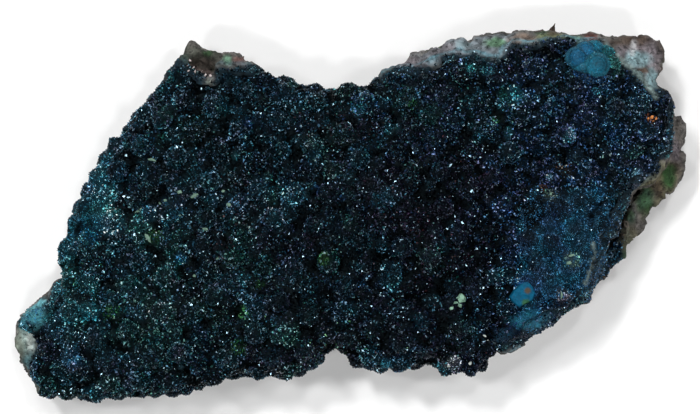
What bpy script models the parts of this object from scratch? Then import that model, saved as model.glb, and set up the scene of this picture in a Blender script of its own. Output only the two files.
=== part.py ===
"""Cornetite hand specimen, lying on its back with the crystal face up.

A broken slab of host rock carries a crust of grown-together balls of cornetite over its whole face.
The crust wraps over the lower and left edges, and the bare rock shows along the top right, on the
right flank, at the left tip and at the top left point. A cluster of smooth chrysocolla balls sits on
the crust at the upper right.

+X runs along the slab, +Y up the face and +Z out of the face. The origin is on the resting surface,
under the middle of the whole specimen. Outlines and sizes below are in millimetres.
"""

import math
import random

import bmesh
import bpy
import numpy as np
from mathutils import Vector, kdtree, noise

MM = 0.001
SIDEWAYS = (1, 1, 0)
UNLIKE = 3.7  # spreads seeds and beds apart in the noise

# Driving sizes, in millimetres
RIM_HEIGHT = 3.8  # where the crust's lower edge ends on the side walls
RIM_WAVE = 0.9  # how far that edge wanders up and down
HIGH_RIM = 7.2  # where it ends over bare rock
BARE_ROCK_REACH = 2.0  # how far from the bare rock that shows
CORE_TOP = 9.6  # top of the rock under the crust, before its swells
CRUST_THICKNESS = 2.1
CRUST_INSET = 0.28  # its mean wall stands this far inside the outline that its balls fill
CRUST_EDGE_ROUND = 3.4  # radius of the roll-off along the crust's edge
CRUST_EDGE_DROP = 2.9  # how far the skin falls within it
BROKEN_EDGE_SHARE = 0.25  # of that fall, where the crust ends on bare rock
CRUST_UNDERCUT = 1.3  # the crust's lower edge stands this far inside its outline
WIDEST_HEIGHT = 6.2  # where the walls reach the outline
THIN_CRUST = 0.25  # least thickness of the crust at its broken edge
SEAT_GAP = 0.3  # gap kept between solids that touch
ROCK_INFLATION = 0.42  # grows the rock for cutting its seat out of the crust
FOOT_INSET = 1.25  # the rock's wall stands this far inside the crust's outline
FOOT_DROP = 0.8  # the top of the rock under the crust's lower edge lies this far below that edge
FOOT_TAPER = 1.2  # how far the rock's walls draw in towards the resting face
TAPER_HEIGHT = 4.5  # height below which they do
FULL_THICKNESS_DEPTH = 1.2  # the crust is as thick as it gets this far inside its broken edge
BED_THICKNESS = 1.7  # of the rock's bedding, which shows as ledges on the walls
BED_WAVE = 0.3  # how far the beds wander up and down, as a share of their thickness
BED_WAVE_LENGTH = 14.0
LEDGE_DEPTH = 1.7
LEDGE_LENGTH = 9.0
LEDGE_MEAN = 0.35  # mean depth of a ledge, as a share of the deepest
ROUGHNESS = [(6.5, 0.7, 1), (2.4, 0.5, 2)]  # of broken rock: wavelength, height, seed
UNDERSIDE = -0.55  # mean height of the underside before it is cut flat
UNDERSIDE_HOLLOWS = 4.5
HOLLOW_LENGTH = 13.0

CRUST_VOXEL = 0.28
ROCK_VOXEL = 0.6
NODULE_VOXEL = 0.24
SEAT_VOXEL = 0.3
CRUST_TRIANGLES = 5650
ROCK_TRIANGLES = 2400
NODULE_TRIANGLES = 360

# The crust's outline seen from above, clockwise from the top left corner
CRUST_OUTLINE = [
    (-22.2, 16.0), (-21.2, 16.9), (-17.4, 15.4), (-15.8, 15.5), (-15.4, 17.0), (-13.2, 16.9),
    (-8.9, 16.3), (-7.0, 15.6), (-4.8, 15.2), (-1.8, 14.8), (1.2, 15.1), (4.2, 16.0),
    (7.0, 16.4), (9.1, 17.3), (11.3, 18.4), (13.0, 18.8), (14.4, 18.4), (15.6, 17.9),
    (17.4, 18.1), (19.0, 19.0), (20.6, 19.6), (22.2, 19.9), (23.6, 19.6), (29.8, 19.6),
    (31.2, 19.1), (32.4, 18.0), (34.6, 16.3), (37.0, 13.6), (37.9, 13.2), (38.5, 11.9),
    (38.6, 9.7), (37.2, 5.6), (36.4, 4.4), (33.5, 2.6), (32.4, 1.3), (31.8, -0.6),
    (31.1, -2.6), (30.0, -3.6), (29.6, -5.4), (29.3, -7.3), (28.4, -9.4), (27.4, -10.7),
    (23.4, -13.2), (19.9, -15.1), (18.6, -16.4), (16.9, -18.1), (16.2, -19.4), (14.4, -20.3),
    (13.3, -19.9), (12.2, -20.5), (10.9, -19.9), (9.6, -19.2), (6.0, -19.4), (2.9, -20.0),
    (1.4, -19.6), (0.4, -18.6), (-0.4, -17.4), (-1.3, -17.0), (-2.4, -17.4), (-3.0, -18.5),
    (-5.6, -20.2), (-7.0, -20.7), (-11.6, -20.6), (-13.1, -20.0), (-19.4, -22.4), (-22.8, -22.7),
    (-31.4, -23.4), (-33.8, -23.0), (-36.5, -22.9), (-37.7, -21.7), (-38.4, -19.8), (-37.9, -15.7),
    (-39.6, -13.8), (-37.3, -11.4), (-36.0, -10.7), (-35.4, -9.0), (-34.0, -1.8), (-31.6, 3.8),
    (-28.8, 8.5), (-27.5, 9.1), (-25.9, 10.9), (-24.7, 13.1), (-23.6, 14.4),
]

# The rock's core, which is hidden under the crust
CORE_OUTLINE = [
    (-21.0, 13.5), (-16.0, 13.3), (-8.0, 13.9), (-2.0, 12.6), (3.0, 13.2), (8.0, 14.6),
    (12.5, 16.4), (17.0, 16.0), (22.0, 17.6), (29.5, 17.2), (34.0, 13.5), (36.2, 10.5),
    (35.4, 6.2), (31.3, 1.8), (28.9, -3.5), (27.1, -8.8), (22.0, -12.0), (17.5, -14.7),
    (14.5, -17.6), (11.0, -17.8), (3.0, -17.6), (-0.8, -14.8), (-3.2, -15.2), (-6.5, -18.2),
    (-13.0, -18.0), (-18.0, -19.8), (-25.0, -20.6), (-34.5, -20.6), (-35.9, -17.5),
    (-35.6, -13.0), (-33.0, -8.5), (-31.8, -1.5), (-28.2, 5.3), (-25.0, 9.2), (-22.5, 12.3),
]

# Bare rock beyond the crust
TOP_LEFT_POINT = [
    (-22.3, 15.8), (-20.5, 17.6), (-19.1, 19.8), (-17.6, 19.1), (-16.3, 18.5), (-14.3, 18.7),
    (-12.7, 18.0), (-11.5, 16.8), (-10.4, 16.4), (-13.2, 14.0), (-19.2, 13.4),
]
BACK_SHELF = [
    (3.6, 16.7), (5.6, 16.9), (7.7, 18.0), (9.6, 19.1), (12.4, 20.0), (17.6, 20.8),
    (23.2, 21.0), (24.3, 21.5), (27.0, 20.8), (29.0, 21.2), (29.8, 20.5), (34.3, 20.7),
    (36.2, 20.6), (38.0, 19.1), (37.3, 16.3), (36.9, 15.1), (36.9, 13.7), (34.8, 12.8),
    (25.2, 17.2), (13.2, 16.0), (4.2, 14.6),
]
RIGHT_LEDGE = [
    (36.2, 14.6), (37.0, 14.0), (38.1, 13.2), (38.8, 11.4), (38.8, 9.0), (37.6, 5.0),
    (36.6, 3.6), (35.0, 2.6), (33.7, 1.2), (33.0, -0.6), (32.4, -2.6), (31.2, -4.4),
    (30.6, -6.4), (29.9, -8.0), (28.7, -9.7), (28.2, -10.8), (25.0, -12.7), (22.1, -14.6),
    (20.7, -16.0), (18.1, -17.3), (17.4, -15.6), (26.4, -7.6), (29.4, 1.2), (34.6, 10.4),
]
RIGHT_BLOCK = [
    (38.2, 11.8), (39.6, 10.6), (40.1, 9.3), (39.3, 7.4), (39.2, 6.2), (40.2, 5.6),
    (40.1, 4.4), (38.5, 2.0), (37.6, 1.5), (35.3, -1.8), (33.2, -3.8), (32.8, -5.5),
    (31.1, -6.8), (29.6, -8.4), (26.0, -8.0), (29.0, 1.0), (34.6, 10.4),
]
LEFT_TIP = [
    (-33.6, -9.4), (-34.8, -14.8), (-36.0, -21.2), (-37.2, -22.2), (-38.0, -21.2),
    (-39.5, -18.8), (-40.4, -16.2), (-40.3, -15.1), (-39.6, -13.6), (-37.4, -11.4),
    (-37.2, -10.4), (-35.4, -8.9),
]
# Each outline with the height of its top, and with how much larger it is drawn to make up for its ledges
BARE_ROCK = {
    "top_left_point": (TOP_LEFT_POINT, 11.6, 0.1),
    "back_shelf": (BACK_SHELF, 10.2, 0.1),
    "right_ledge": (RIGHT_LEDGE, 9.8, 0.2),
    "right_block": (RIGHT_BLOCK, 7.0, 0.5),
    "left_tip": (LEFT_TIP, 8.0, 0.3),
}
SHELF_FALL = 0.06  # share of its height that the bare rock loses for each millimetre past the crust
LEAST_SHELF = 0.5

# Swells and hollows of the crystal face: centre x, y, radius along x, along y, height
SWELLS = [
    (10.0, 0.0, 30.0, 17.0, 1.4),
    (4.5, 0.0, 7.0, 7.5, 2.3),
    (-7.2, -14.8, 6.5, 5.0, 1.4),
    (-24.0, -14.5, 9.0, 7.0, 1.2),
    (-19.0, 7.5, 8.0, 7.0, 1.3),
    (30.0, 11.0, 8.0, 7.5, 1.9),
    (14.0, 13.0, 6.0, 5.0, 0.9),
    (25.5, -5.0, 4.5, 7.0, 0.9),
    (9.5, -15.0, 6.0, 4.0, 0.7),
    (17.6, -2.0, 3.0, 7.0, -2.1),
    (18.4, -12.0, 2.6, 5.0, -1.6),
    (-2.5, 12.5, 5.0, 4.5, -1.2),
    (-10.5, 2.5, 3.4, 9.0, -1.1),
    (-16.5, -13.0, 2.4, 5.0, -1.0),
    (-1.0, -15.0, 3.0, 4.0, -1.3),
    (20.5, 8.0, 3.0, 6.0, -0.9),
    (-37.0, -14.0, 5.0, 9.0, -2.0),
]

# Balls of the crust: radius, then how many of that size are tried, largest first
BALL_SIZES = [(2.75, 22), (2.2, 90), (1.75, 260), (1.35, 400)]
BALL_SPACING = 0.8  # least distance between two centres, as a share of the sum of their radii
BALL_SEED = 41
BALL_SINK = 0.33  # how deep a ball's centre lies under the skin, as a share of its radius
BALL_MEAN = 0.7  # taken off again, so that the outline stays where it is drawn
WALL_BALL_STRENGTH = 0.75
LOWEST_BALL_FACING = -0.6  # no balls where the skin's normal points down more than this
FULL_BALL_FACING = -0.2  # and balls of full height where it points no lower than this

# Chrysocolla balls: centre x, y, radius
NODULES = [
    (27.4, 17.6, 1.75),
    (29.7, 16.5, 1.95),
    (27.7, 15.5, 1.35),
    (29.0, 18.9, 1.25),
    (31.2, 17.9, 1.1),
    (26.2, 16.4, 1.05),
]
NODULE_LIFT = 0.3  # how high a ball's centre stands over the crust's mean skin

# A sliver of rock stands up from the back shelf's edge
SPIKE_BASE = (24.35, 20.7)
SPIKE_TIP = (24.75, 22.3)
SPIKE_RADIUS = 0.75
SPIKE_HEIGHT = 5.0
SPIKE_RISE = 0.6
SPIKE_BLUNTNESS = 0.05

# The pocket in the top left point
POCKET_CENTRE = (-17.6, 16.9, 11.2)
POCKET_RADII = (2.0, 1.1, 1.7)
POCKET_TURN = -25.0  # degrees

# The open crack between the right ledge and the right block
CRACK_OUTLINE = [
    (36.6, 3.0), (35.2, 2.3), (34.0, 0.9), (33.3, -0.9), (32.7, -2.6), (31.7, -4.3),
    (30.9, -6.0), (30.2, -5.6), (30.6, -3.6), (31.6, -3.0), (32.2, -1.0), (33.1, 1.0),
    (34.4, 2.5),
]
CRACK_FLOOR = 4.2
ABOVE_ALL = 16.0  # higher than any bare rock

ROCK_COLOUR = (0.19, 0.165, 0.145)
CRUST_COLOUR = (0.012, 0.045, 0.07)
NODULE_COLOUR = (0.02, 0.16, 0.3)


def clear_scene():
    for obj in list(bpy.data.objects):
        bpy.data.objects.remove(obj)


def collection(name):
    made = bpy.data.collections.new(name)
    bpy.context.scene.collection.children.link(made)
    return made


def material(name, colour, roughness):
    made = bpy.data.materials.new(name)
    made.use_nodes = True
    shader = made.node_tree.nodes["Principled BSDF"]
    shader.inputs["Base Color"].default_value = (*colour, 1)
    shader.inputs["Roughness"].default_value = roughness
    shader.inputs["Metallic"].default_value = 0
    made.diffuse_color = (*colour, 1)
    return made


def with_modifiers(obj):
    """A new mesh: obj's own with its modifiers, in world space."""
    bpy.context.view_layer.update()
    mesh = bpy.data.meshes.new_from_object(obj.evaluated_get(bpy.context.evaluated_depsgraph_get()))
    mesh.transform(obj.matrix_world)
    return mesh


def bake_modifiers(obj):
    obj.data = with_modifiers(obj)
    obj.modifiers.clear()


def points_of(obj):
    """The object's vertices, in millimetres."""
    flat = np.empty(len(obj.data.vertices) * 3, np.float32)
    obj.data.vertices.foreach_get("co", flat)
    return flat.reshape(-1, 3).astype(float) / MM


def normals_of(obj):
    flat = np.empty(len(obj.data.vertices) * 3, np.float32)
    obj.data.vertices.foreach_get("normal", flat)
    return flat.reshape(-1, 3).astype(float)


def set_points(obj, points):
    obj.data.vertices.foreach_set("co", (points * MM).astype(np.float32).ravel())
    obj.data.update()


def prism(name, outline, low, high):
    """A flat outline drawn as a 2D curve and raised from low to high, as a mesh object."""
    curve = bpy.data.curves.new(name, "CURVE")
    curve.dimensions = "2D"
    curve.fill_mode = "BOTH"
    curve.extrude = (high - low) / 2 * MM
    spline = curve.splines.new("POLY")
    spline.points.add(len(outline) - 1)
    for point, (x, y) in zip(spline.points, outline):
        point.co = (x * MM, y * MM, 0, 1)
    spline.use_cyclic_u = True
    drawn = bpy.data.objects.new(name + "_outline", curve)
    bpy.context.scene.collection.objects.link(drawn)
    drawn.location.z = (high + low) / 2 * MM
    mesh = with_modifiers(drawn)
    bpy.data.objects.remove(drawn)
    weld(mesh)
    solid = bpy.data.objects.new(name, mesh)
    bpy.context.scene.collection.objects.link(solid)
    return solid


def weld(mesh):
    shape = bmesh.new()
    shape.from_mesh(mesh)
    bmesh.ops.remove_doubles(shape, verts=shape.verts, dist=0.00001)
    bmesh.ops.recalc_face_normals(shape, faces=shape.faces)
    shape.to_mesh(mesh)
    shape.free()


def joined(name, objects):
    """One object that holds the shapes of several, which the remesh then fuses."""
    shape = bmesh.new()
    for obj in objects:
        shape.from_mesh(obj.data)
        bpy.data.objects.remove(obj)
    mesh = bpy.data.meshes.new(name)
    shape.to_mesh(mesh)
    shape.free()
    made = bpy.data.objects.new(name, mesh)
    bpy.context.scene.collection.objects.link(made)
    return made


def remesh(obj, voxel):
    modifier = obj.modifiers.new("Fuse", "REMESH")
    modifier.mode = "VOXEL"
    modifier.voxel_size = voxel * MM
    bake_modifiers(obj)


def decimate(obj, triangles):
    obj.data.calc_loop_triangles()
    modifier = obj.modifiers.new("Thin out", "DECIMATE")
    modifier.ratio = min(1.0, triangles / len(obj.data.loop_triangles))
    modifier.use_collapse_triangulate = True
    bake_modifiers(obj)


def boolean(obj, other, operation):
    modifier = obj.modifiers.new(operation.title(), "BOOLEAN")
    modifier.operation = operation
    modifier.solver = "EXACT"
    modifier.object = other
    bake_modifiers(obj)


def keep_largest_piece(obj):
    """Drops crumbs that a cut leaves beside the main body."""
    shape = bmesh.new()
    shape.from_mesh(obj.data)
    left = set(shape.verts)
    pieces = []
    while left:
        piece = set()
        edge_of_search = [left.pop()]
        while edge_of_search:
            vertex = edge_of_search.pop()
            piece.add(vertex)
            for edge in vertex.link_edges:
                other = edge.other_vert(vertex)
                if other in left:
                    left.remove(other)
                    edge_of_search.append(other)
        pieces.append(piece)
    pieces.sort(key=len)
    crumbs = [vertex for piece in pieces[:-1] for vertex in piece]
    bmesh.ops.delete(shape, geom=crumbs, context="VERTS")
    shape.to_mesh(obj.data)
    shape.free()


def depth_inside(points, outline):
    """Distance from each point to a closed outline, positive inside and negative outside."""
    x, y = points[:, 0], points[:, 1]
    nearest = np.full(len(points), 1e9)
    inside = np.zeros(len(points), bool)
    for (ax, ay), (bx, by) in zip(outline, outline[1:] + outline[:1]):
        run_x, run_y = bx - ax, by - ay
        along = ((x - ax) * run_x + (y - ay) * run_y) / (run_x**2 + run_y**2)
        along = np.clip(along, 0, 1)
        nearest = np.minimum(nearest, np.hypot(x - ax - along * run_x, y - ay - along * run_y))
        if ay != by:
            crosses = ((ay > y) != (by > y)) & (x < run_x * (y - ay) / run_y + ax)
            inside ^= crosses
    return np.where(inside, nearest, -nearest)


def waves(points, size, seed):
    """Smooth noise from -1 to 1 with the given wavelength."""
    shifted = points / size + seed * UNLIKE
    return np.array([noise.noise(Vector(p)) for p in shifted])


def swell(points):
    """Height of the face's swells and hollows over each point."""
    height = np.zeros(len(points))
    for x, y, radius_x, radius_y, rise in SWELLS:
        off = ((points[:, 0] - x) / radius_x) ** 2 + ((points[:, 1] - y) / radius_y) ** 2
        height += rise * np.exp(-off)
    return height


def near_bare_rock(points):
    """From 0 well inside the crust to 1 where bare rock lies beside or under it."""
    bare = np.max([depth_inside(points, outline) for outline, *_ in BARE_ROCK.values()], axis=0)
    return np.clip(1 + bare / BARE_ROCK_REACH, 0, 1)


def rim(points):
    """Height of the crust's lower edge: low on the walls that it covers, high over bare rock."""
    flat = np.column_stack([points[:, 0], points[:, 1], np.zeros(len(points))])
    wandering = RIM_HEIGHT + RIM_WAVE * waves(flat, 7.0, 3)
    return wandering + (HIGH_RIM - RIM_HEIGHT) * near_bare_rock(points)


def skin(points):
    """Height of the crust's mean skin over each point, rolled off towards the crust's outline."""
    from_edge = np.clip(1 - depth_inside(points, CRUST_OUTLINE) / CRUST_EDGE_ROUND, 0, 1)
    fall = CRUST_EDGE_DROP * (1 - np.sqrt(1 - from_edge**2))
    fall *= 1 - (1 - BROKEN_EDGE_SHARE) * near_bare_rock(points)
    return CORE_TOP + CRUST_THICKNESS + swell(points) - fall


def inset(outline, distance):
    """The outline moved inwards at each corner, along the mean of its two sides' normals."""
    moved = []
    for before, here, after in zip(outline[-1:] + outline[:-1], outline, outline[1:] + outline[:1]):
        run = Vector(after) - Vector(before)
        inward = Vector((run.y, -run.x)).normalized()
        moved.append(tuple(Vector(here) + distance * inward))
    return moved


def shape_rock(obj):
    """Turns the fused prisms into broken rock: swells, sloping shelves, ledges and rough faces."""
    points = points_of(obj)
    normals = normals_of(obj)
    depth = depth_inside(points, CRUST_OUTLINE)
    height = points[:, 2].copy()

    # The core's top follows the swells of the face
    lift = np.clip((height - RIM_HEIGHT) / (CORE_TOP - RIM_HEIGHT), 0, None)
    points[:, 2] += lift * swell(points)

    # The rock below the crust's lower edge follows that edge
    foot = (height > 0) & (height < RIM_HEIGHT)
    rise = np.minimum(rim(points) - RIM_HEIGHT, RIM_WAVE)
    points[:, 2] += foot * height / RIM_HEIGHT * rise

    # Shelves fall away from the crust, and rock under the crust leaves room for it
    fall = np.clip(1 - SHELF_FALL * np.clip(-depth, 0, None), LEAST_SHELF, 1)
    points[:, 2] = np.where(points[:, 2] > 0, points[:, 2] * fall, points[:, 2])
    room = THIN_CRUST + (CRUST_THICKNESS - THIN_CRUST) * np.clip(depth / FULL_THICKNESS_DEPTH, 0, 1)
    most = np.where(depth > -SEAT_GAP, skin(points) - room, np.inf)
    points[:, 2] = np.minimum(points[:, 2], most)

    # Ledges and roughness, only where no crust lies on the rock
    covered = (depth > 0.1) & (height > RIM_HEIGHT - 1.0)
    rough = np.where(covered, 0.0, 1.0)
    bed = np.floor(points[:, 2] / BED_THICKNESS + BED_WAVE * waves(points, BED_WAVE_LENGTH, 5))
    bed_points = np.column_stack([points[:, :2] / LEDGE_LENGTH, bed * UNLIKE])
    ledge = LEDGE_DEPTH * np.clip(LEDGE_MEAN + waves(bed_points, 1.0, 7), 0, 1)
    blocks = np.array([depth_inside(points, outline) for outline, *_ in BARE_ROCK.values()])
    tops = np.array([top for _, top, _ in BARE_ROCK.values()])[blocks.argmax(axis=0)] * fall
    own_top = np.where(blocks.max(axis=0) > -1, tops, RIM_HEIGHT)
    ledge *= np.clip((own_top - points[:, 2]) / BED_THICKNESS, 0, 1)
    taper = FOOT_TAPER * np.clip(1 - height / TAPER_HEIGHT, 0, 1) ** 2
    points -= normals * SIDEWAYS * (rough * ledge + taper)[:, None]
    for length, rise, seed in ROUGHNESS:
        points += normals * (rough * rise * waves(points, length, seed))[:, None]

    # Hollows in the underside, which the flat cut leaves open
    under = normals[:, 2] < -0.5
    points[:, 2] += under * UNDERSIDE_HOLLOWS * waves(points, HOLLOW_LENGTH, 9)
    set_points(obj, points)


def host_rock():
    prisms = [
        prism("core", CORE_OUTLINE, UNDERSIDE, CORE_TOP),
        prism("foot", inset(CRUST_OUTLINE, FOOT_INSET), UNDERSIDE, RIM_HEIGHT - FOOT_DROP),
    ]
    for name, (outline, top, allowance) in BARE_ROCK.items():
        prisms.append(prism(name, inset(outline, -allowance), UNDERSIDE, top))
    rock = joined("host_rock", prisms)
    remesh(rock, ROCK_VOXEL)
    shape_rock(rock)
    remesh(rock, ROCK_VOXEL)
    keep_largest_piece(rock)
    decimate(rock, ROCK_TRIANGLES)
    add_spike(rock)
    cut_pocket_and_crack(rock)
    cut_flat_base(rock)
    keep_largest_piece(rock)
    return rock


def add_spike(rock):
    base = Vector((*SPIKE_BASE, SPIKE_HEIGHT)) * MM
    tip = Vector((*SPIKE_TIP, SPIKE_HEIGHT + SPIKE_RISE)) * MM
    root = base + (base - tip) / 2
    bpy.ops.mesh.primitive_cone_add(
        vertices=7,
        radius1=SPIKE_RADIUS * MM,
        radius2=SPIKE_BLUNTNESS * MM,
        depth=(tip - root).length,
        location=(tip + root) / 2,
        rotation=(tip - root).to_track_quat("Z", "Y").to_euler(),
    )
    spike = bpy.context.object
    boolean(rock, spike, "UNION")
    bpy.data.objects.remove(spike)


def cut_pocket_and_crack(rock):
    centre = Vector(POCKET_CENTRE) * MM
    bpy.ops.mesh.primitive_uv_sphere_add(segments=14, ring_count=8, radius=MM, location=centre)
    pocket = bpy.context.object
    pocket.scale = POCKET_RADII
    pocket.rotation_euler.z = math.radians(POCKET_TURN)
    boolean(rock, pocket, "DIFFERENCE")
    bpy.data.objects.remove(pocket)
    crack = prism("crack", CRACK_OUTLINE, CRACK_FLOOR, ABOVE_ALL)
    boolean(rock, crack, "DIFFERENCE")
    bpy.data.objects.remove(crack)


def cut_flat_base(rock):
    """The rock parted along its bedding underneath, so it rests on one flat face."""
    bpy.ops.mesh.primitive_cube_add(size=100 * MM, location=(0, 0, -50 * MM))
    below = bpy.context.object
    boolean(rock, below, "DIFFERENCE")
    bpy.data.objects.remove(below)


def ball_centres(points, normals):
    """The balls' centres on the skin and their radii, the largest first. Neighbours overlap a little."""
    order = list(range(len(points)))
    random.Random(BALL_SEED).shuffle(order)
    usable = [i for i in order if normals[i, 2] > LOWEST_BALL_FACING]
    centres = np.empty((0, 3))
    radii = np.empty(0)
    for size, most in BALL_SIZES:
        placed = 0
        for i in usable:
            apart = BALL_SPACING * (size + radii)
            if len(centres) and (np.linalg.norm(centres - points[i], axis=1) < apart).any():
                continue
            centres = np.vstack([centres, points[i]])
            radii = np.append(radii, size)
            placed += 1
            if placed == most:
                break
    return centres, radii


def shape_crust(obj):
    """Rolls the crust's edge over, follows the face's swells and raises its balls."""
    points = points_of(obj)
    normals = normals_of(obj)
    bottom = rim(points)
    share = (points[:, 2] - RIM_HEIGHT) / (CORE_TOP + CRUST_THICKNESS - RIM_HEIGHT)
    points[:, 2] = bottom + share * (skin(points) - bottom)
    below_widest = np.clip((WIDEST_HEIGHT - points[:, 2]) / (WIDEST_HEIGHT - RIM_HEIGHT), 0, 1)
    points -= normals * SIDEWAYS * (CRUST_UNDERCUT * below_widest**2)[:, None]
    set_points(obj, points)

    points = points_of(obj)
    normals = normals_of(obj)
    centres, radii = ball_centres(points, normals)
    tree = kdtree.KDTree(len(centres))
    for i, centre in enumerate(centres):
        tree.insert(centre, i)
    tree.balance()
    raised = np.zeros(len(points))
    for i, point in enumerate(points):
        for _, ball, distance in tree.find_n(point, 5):
            if distance < radii[ball]:
                dome = math.sqrt(radii[ball] ** 2 - distance**2) - BALL_SINK * radii[ball]
                raised[i] = max(raised[i], dome)
    upward = (normals[:, 2] - LOWEST_BALL_FACING) / (FULL_BALL_FACING - LOWEST_BALL_FACING)
    strength = WALL_BALL_STRENGTH + (1 - WALL_BALL_STRENGTH) * np.clip(normals[:, 2], 0, 1)
    points += normals * ((raised * strength - BALL_MEAN) * np.clip(upward, 0, 1))[:, None]
    set_points(obj, points)


def cornetite_crust(rock):
    outline = inset(CRUST_OUTLINE, CRUST_INSET)
    crust = prism("cornetite_crust", outline, RIM_HEIGHT, CORE_TOP + CRUST_THICKNESS)
    remesh(crust, CRUST_VOXEL)
    shape_crust(crust)
    remesh(crust, CRUST_VOXEL)
    keep_largest_piece(crust)
    decimate(crust, CRUST_TRIANGLES)
    cut_seat(crust, rock, ROCK_INFLATION, ROCK_TRIANGLES)
    return crust


def cut_seat(obj, carrier, gap, triangles):
    """Cuts away what carrier takes up, and a gap around it."""
    seat = bpy.data.objects.new("seat", carrier.data.copy())
    bpy.context.scene.collection.objects.link(seat)
    remesh(seat, SEAT_VOXEL)
    set_points(seat, points_of(seat) + gap * normals_of(seat))
    remesh(seat, SEAT_VOXEL)
    decimate(seat, triangles)
    boolean(obj, seat, "DIFFERENCE")
    bpy.data.objects.remove(seat)
    keep_largest_piece(obj)


def chrysocolla_nodules(crust):
    balls = []
    for x, y, radius in NODULES:
        height = skin(np.array([[x, y, 0.0]]))[0] + NODULE_LIFT
        centre = Vector((x, y, height)) * MM
        size = radius * MM
        bpy.ops.mesh.primitive_uv_sphere_add(segments=24, ring_count=14, radius=size, location=centre)
        ball = bpy.context.object
        bake_modifiers(ball)
        balls.append(ball)
    nodules = joined("chrysocolla_nodules", balls)
    remesh(nodules, NODULE_VOXEL)
    decimate(nodules, NODULE_TRIANGLES)
    cut_seat(nodules, crust, SEAT_GAP, 4 * CRUST_TRIANGLES)
    return nodules


def centre_on_base(objects):
    """Puts the origin on the resting surface under the middle of the whole specimen."""
    every = np.vstack([points_of(obj) for obj in objects])
    middle = (every.min(axis=0) + every.max(axis=0)) / 2
    for obj in objects:
        set_points(obj, points_of(obj) - (middle[0], middle[1], 0))


def main():
    clear_scene()
    specimen = collection("cornetite_specimen")
    rock = host_rock()
    crust = cornetite_crust(rock)
    nodules = chrysocolla_nodules(crust)
    centre_on_base([rock, crust, nodules])
    looks = {
        rock: material("host_rock", ROCK_COLOUR, 0.9),
        crust: material("cornetite", CRUST_COLOUR, 0.35),
        nodules: material("chrysocolla", NODULE_COLOUR, 0.6),
    }
    for obj, look in looks.items():
        obj.data.materials.clear()
        obj.data.materials.append(look)
        for old in list(obj.users_collection):
            old.objects.unlink(obj)
        specimen.objects.link(obj)


main()
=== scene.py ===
"""The looks of the cornetite specimen: its druse of small crystals, the stained host rock and the small
grains on both, with floor, light and camera.

Lengths are in millimetres until a mesh is written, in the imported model's own frame: +X along the slab,
+Y up the crystal face, +Z out of it. Colours are linear.
"""

import math

import bmesh
import bpy
import numpy as np
from mathutils import Matrix, Vector, bvhtree, kdtree, noise

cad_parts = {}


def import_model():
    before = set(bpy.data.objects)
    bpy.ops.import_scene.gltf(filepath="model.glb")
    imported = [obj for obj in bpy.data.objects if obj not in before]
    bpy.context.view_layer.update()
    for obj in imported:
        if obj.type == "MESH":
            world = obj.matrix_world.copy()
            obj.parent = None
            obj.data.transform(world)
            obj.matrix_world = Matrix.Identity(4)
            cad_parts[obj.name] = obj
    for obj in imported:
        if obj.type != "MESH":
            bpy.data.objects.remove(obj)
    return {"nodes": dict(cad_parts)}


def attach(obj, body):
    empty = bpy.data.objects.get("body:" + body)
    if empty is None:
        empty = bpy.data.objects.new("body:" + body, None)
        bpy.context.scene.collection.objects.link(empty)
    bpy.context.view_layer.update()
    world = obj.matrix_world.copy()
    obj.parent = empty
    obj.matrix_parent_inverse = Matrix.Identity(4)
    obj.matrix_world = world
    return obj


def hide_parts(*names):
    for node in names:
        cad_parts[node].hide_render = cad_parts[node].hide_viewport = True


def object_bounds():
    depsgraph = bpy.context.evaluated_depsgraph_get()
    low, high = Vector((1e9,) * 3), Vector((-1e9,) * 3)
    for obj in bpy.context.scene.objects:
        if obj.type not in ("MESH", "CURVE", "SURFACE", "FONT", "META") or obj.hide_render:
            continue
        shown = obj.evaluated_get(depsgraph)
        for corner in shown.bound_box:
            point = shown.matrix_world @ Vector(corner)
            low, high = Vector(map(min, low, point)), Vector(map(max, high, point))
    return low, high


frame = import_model()
cad_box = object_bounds()

MM = 0.001
RANDOM = np.random.default_rng(7)
SEED_STEP = 7.31  # keeps noise with different seeds apart
ABOVE_ALL = 40.0

# Patches and lines of colour, drawn in plan
PATCH_REACH = 1.3  # in radii, beyond which a patch never shows
PATCH_RAGGED = 0.28  # how far its edge wanders, in radii
PATCH_EDGE = 0.45  # and how wide that edge is
LINE_REACH = 3.0  # the same for a line, in half widths
LINE_RAGGED = 0.5
LINE_END = 1.6  # where it ends before its edge wanders
STAINED_SLOPES = (-0.1, 0.45)  # up part of a face's normal, from which the areas show and are full
FILMED_SLOPES = (-0.2, 0.3)  # likewise for the films
CARVED_SLOPES = (0.1, 0.6)  # and for the pockets and lines
BACK_SLOPE = -0.7  # a face that looks down more than this is part of the back

# Fine copies of the solids
CRUST_VOXEL = 0.46
ROCK_VOXEL = 0.30
NODULE_VOXEL = 0.13
WELD = 1e-7  # metres
CRUST_SMOOTHING = 14  # rounds that take the solid's flat faces off its balls
PUSH_APART = 1.06  # each round undoes this share of its drawing together
LEVEL_SMOOTHING = 45  # rounds that level the balls, to find which points are their tops
SKIN_DEPTH = 0.05
THICKEST = 9.0  # no solid is taken to be thicker
UNDER_CRUST = 1.3  # a crust face that looks at rock nearer than this is hidden
SEAM_REACH = 1.6  # within this of the crust the rock swells to meet it
SEAM_SWELL = 0.45
FRINGE = 0.95  # about this far over the rock the druse thins out
FRINGE_MEAN = 0.75  # its mean reach as a share of that
FRINGE_RAGGED = 0.7  # and how much noise changes it
PALE_LINE = 0.18  # half the width of the pale line beyond it
BED_HEIGHT = 1.3  # of the rock's thin beds, which show as ledges on its sides
BED_RELIEF = 0.3
FLAT_FOOT = 0.8  # under this height the relief fades, so that the rock lies flat
CHIPS = [(3.2, 0.12), (1.4, 0.14)]  # size and slope of the flat chips that the rock broke into
SPARE_CRUST = 0.15  # share of the faces kept where the rock hides the crust
SPARE_ROCK = 0.30  # and of the rock's, under the crust and on its flat back
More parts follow.
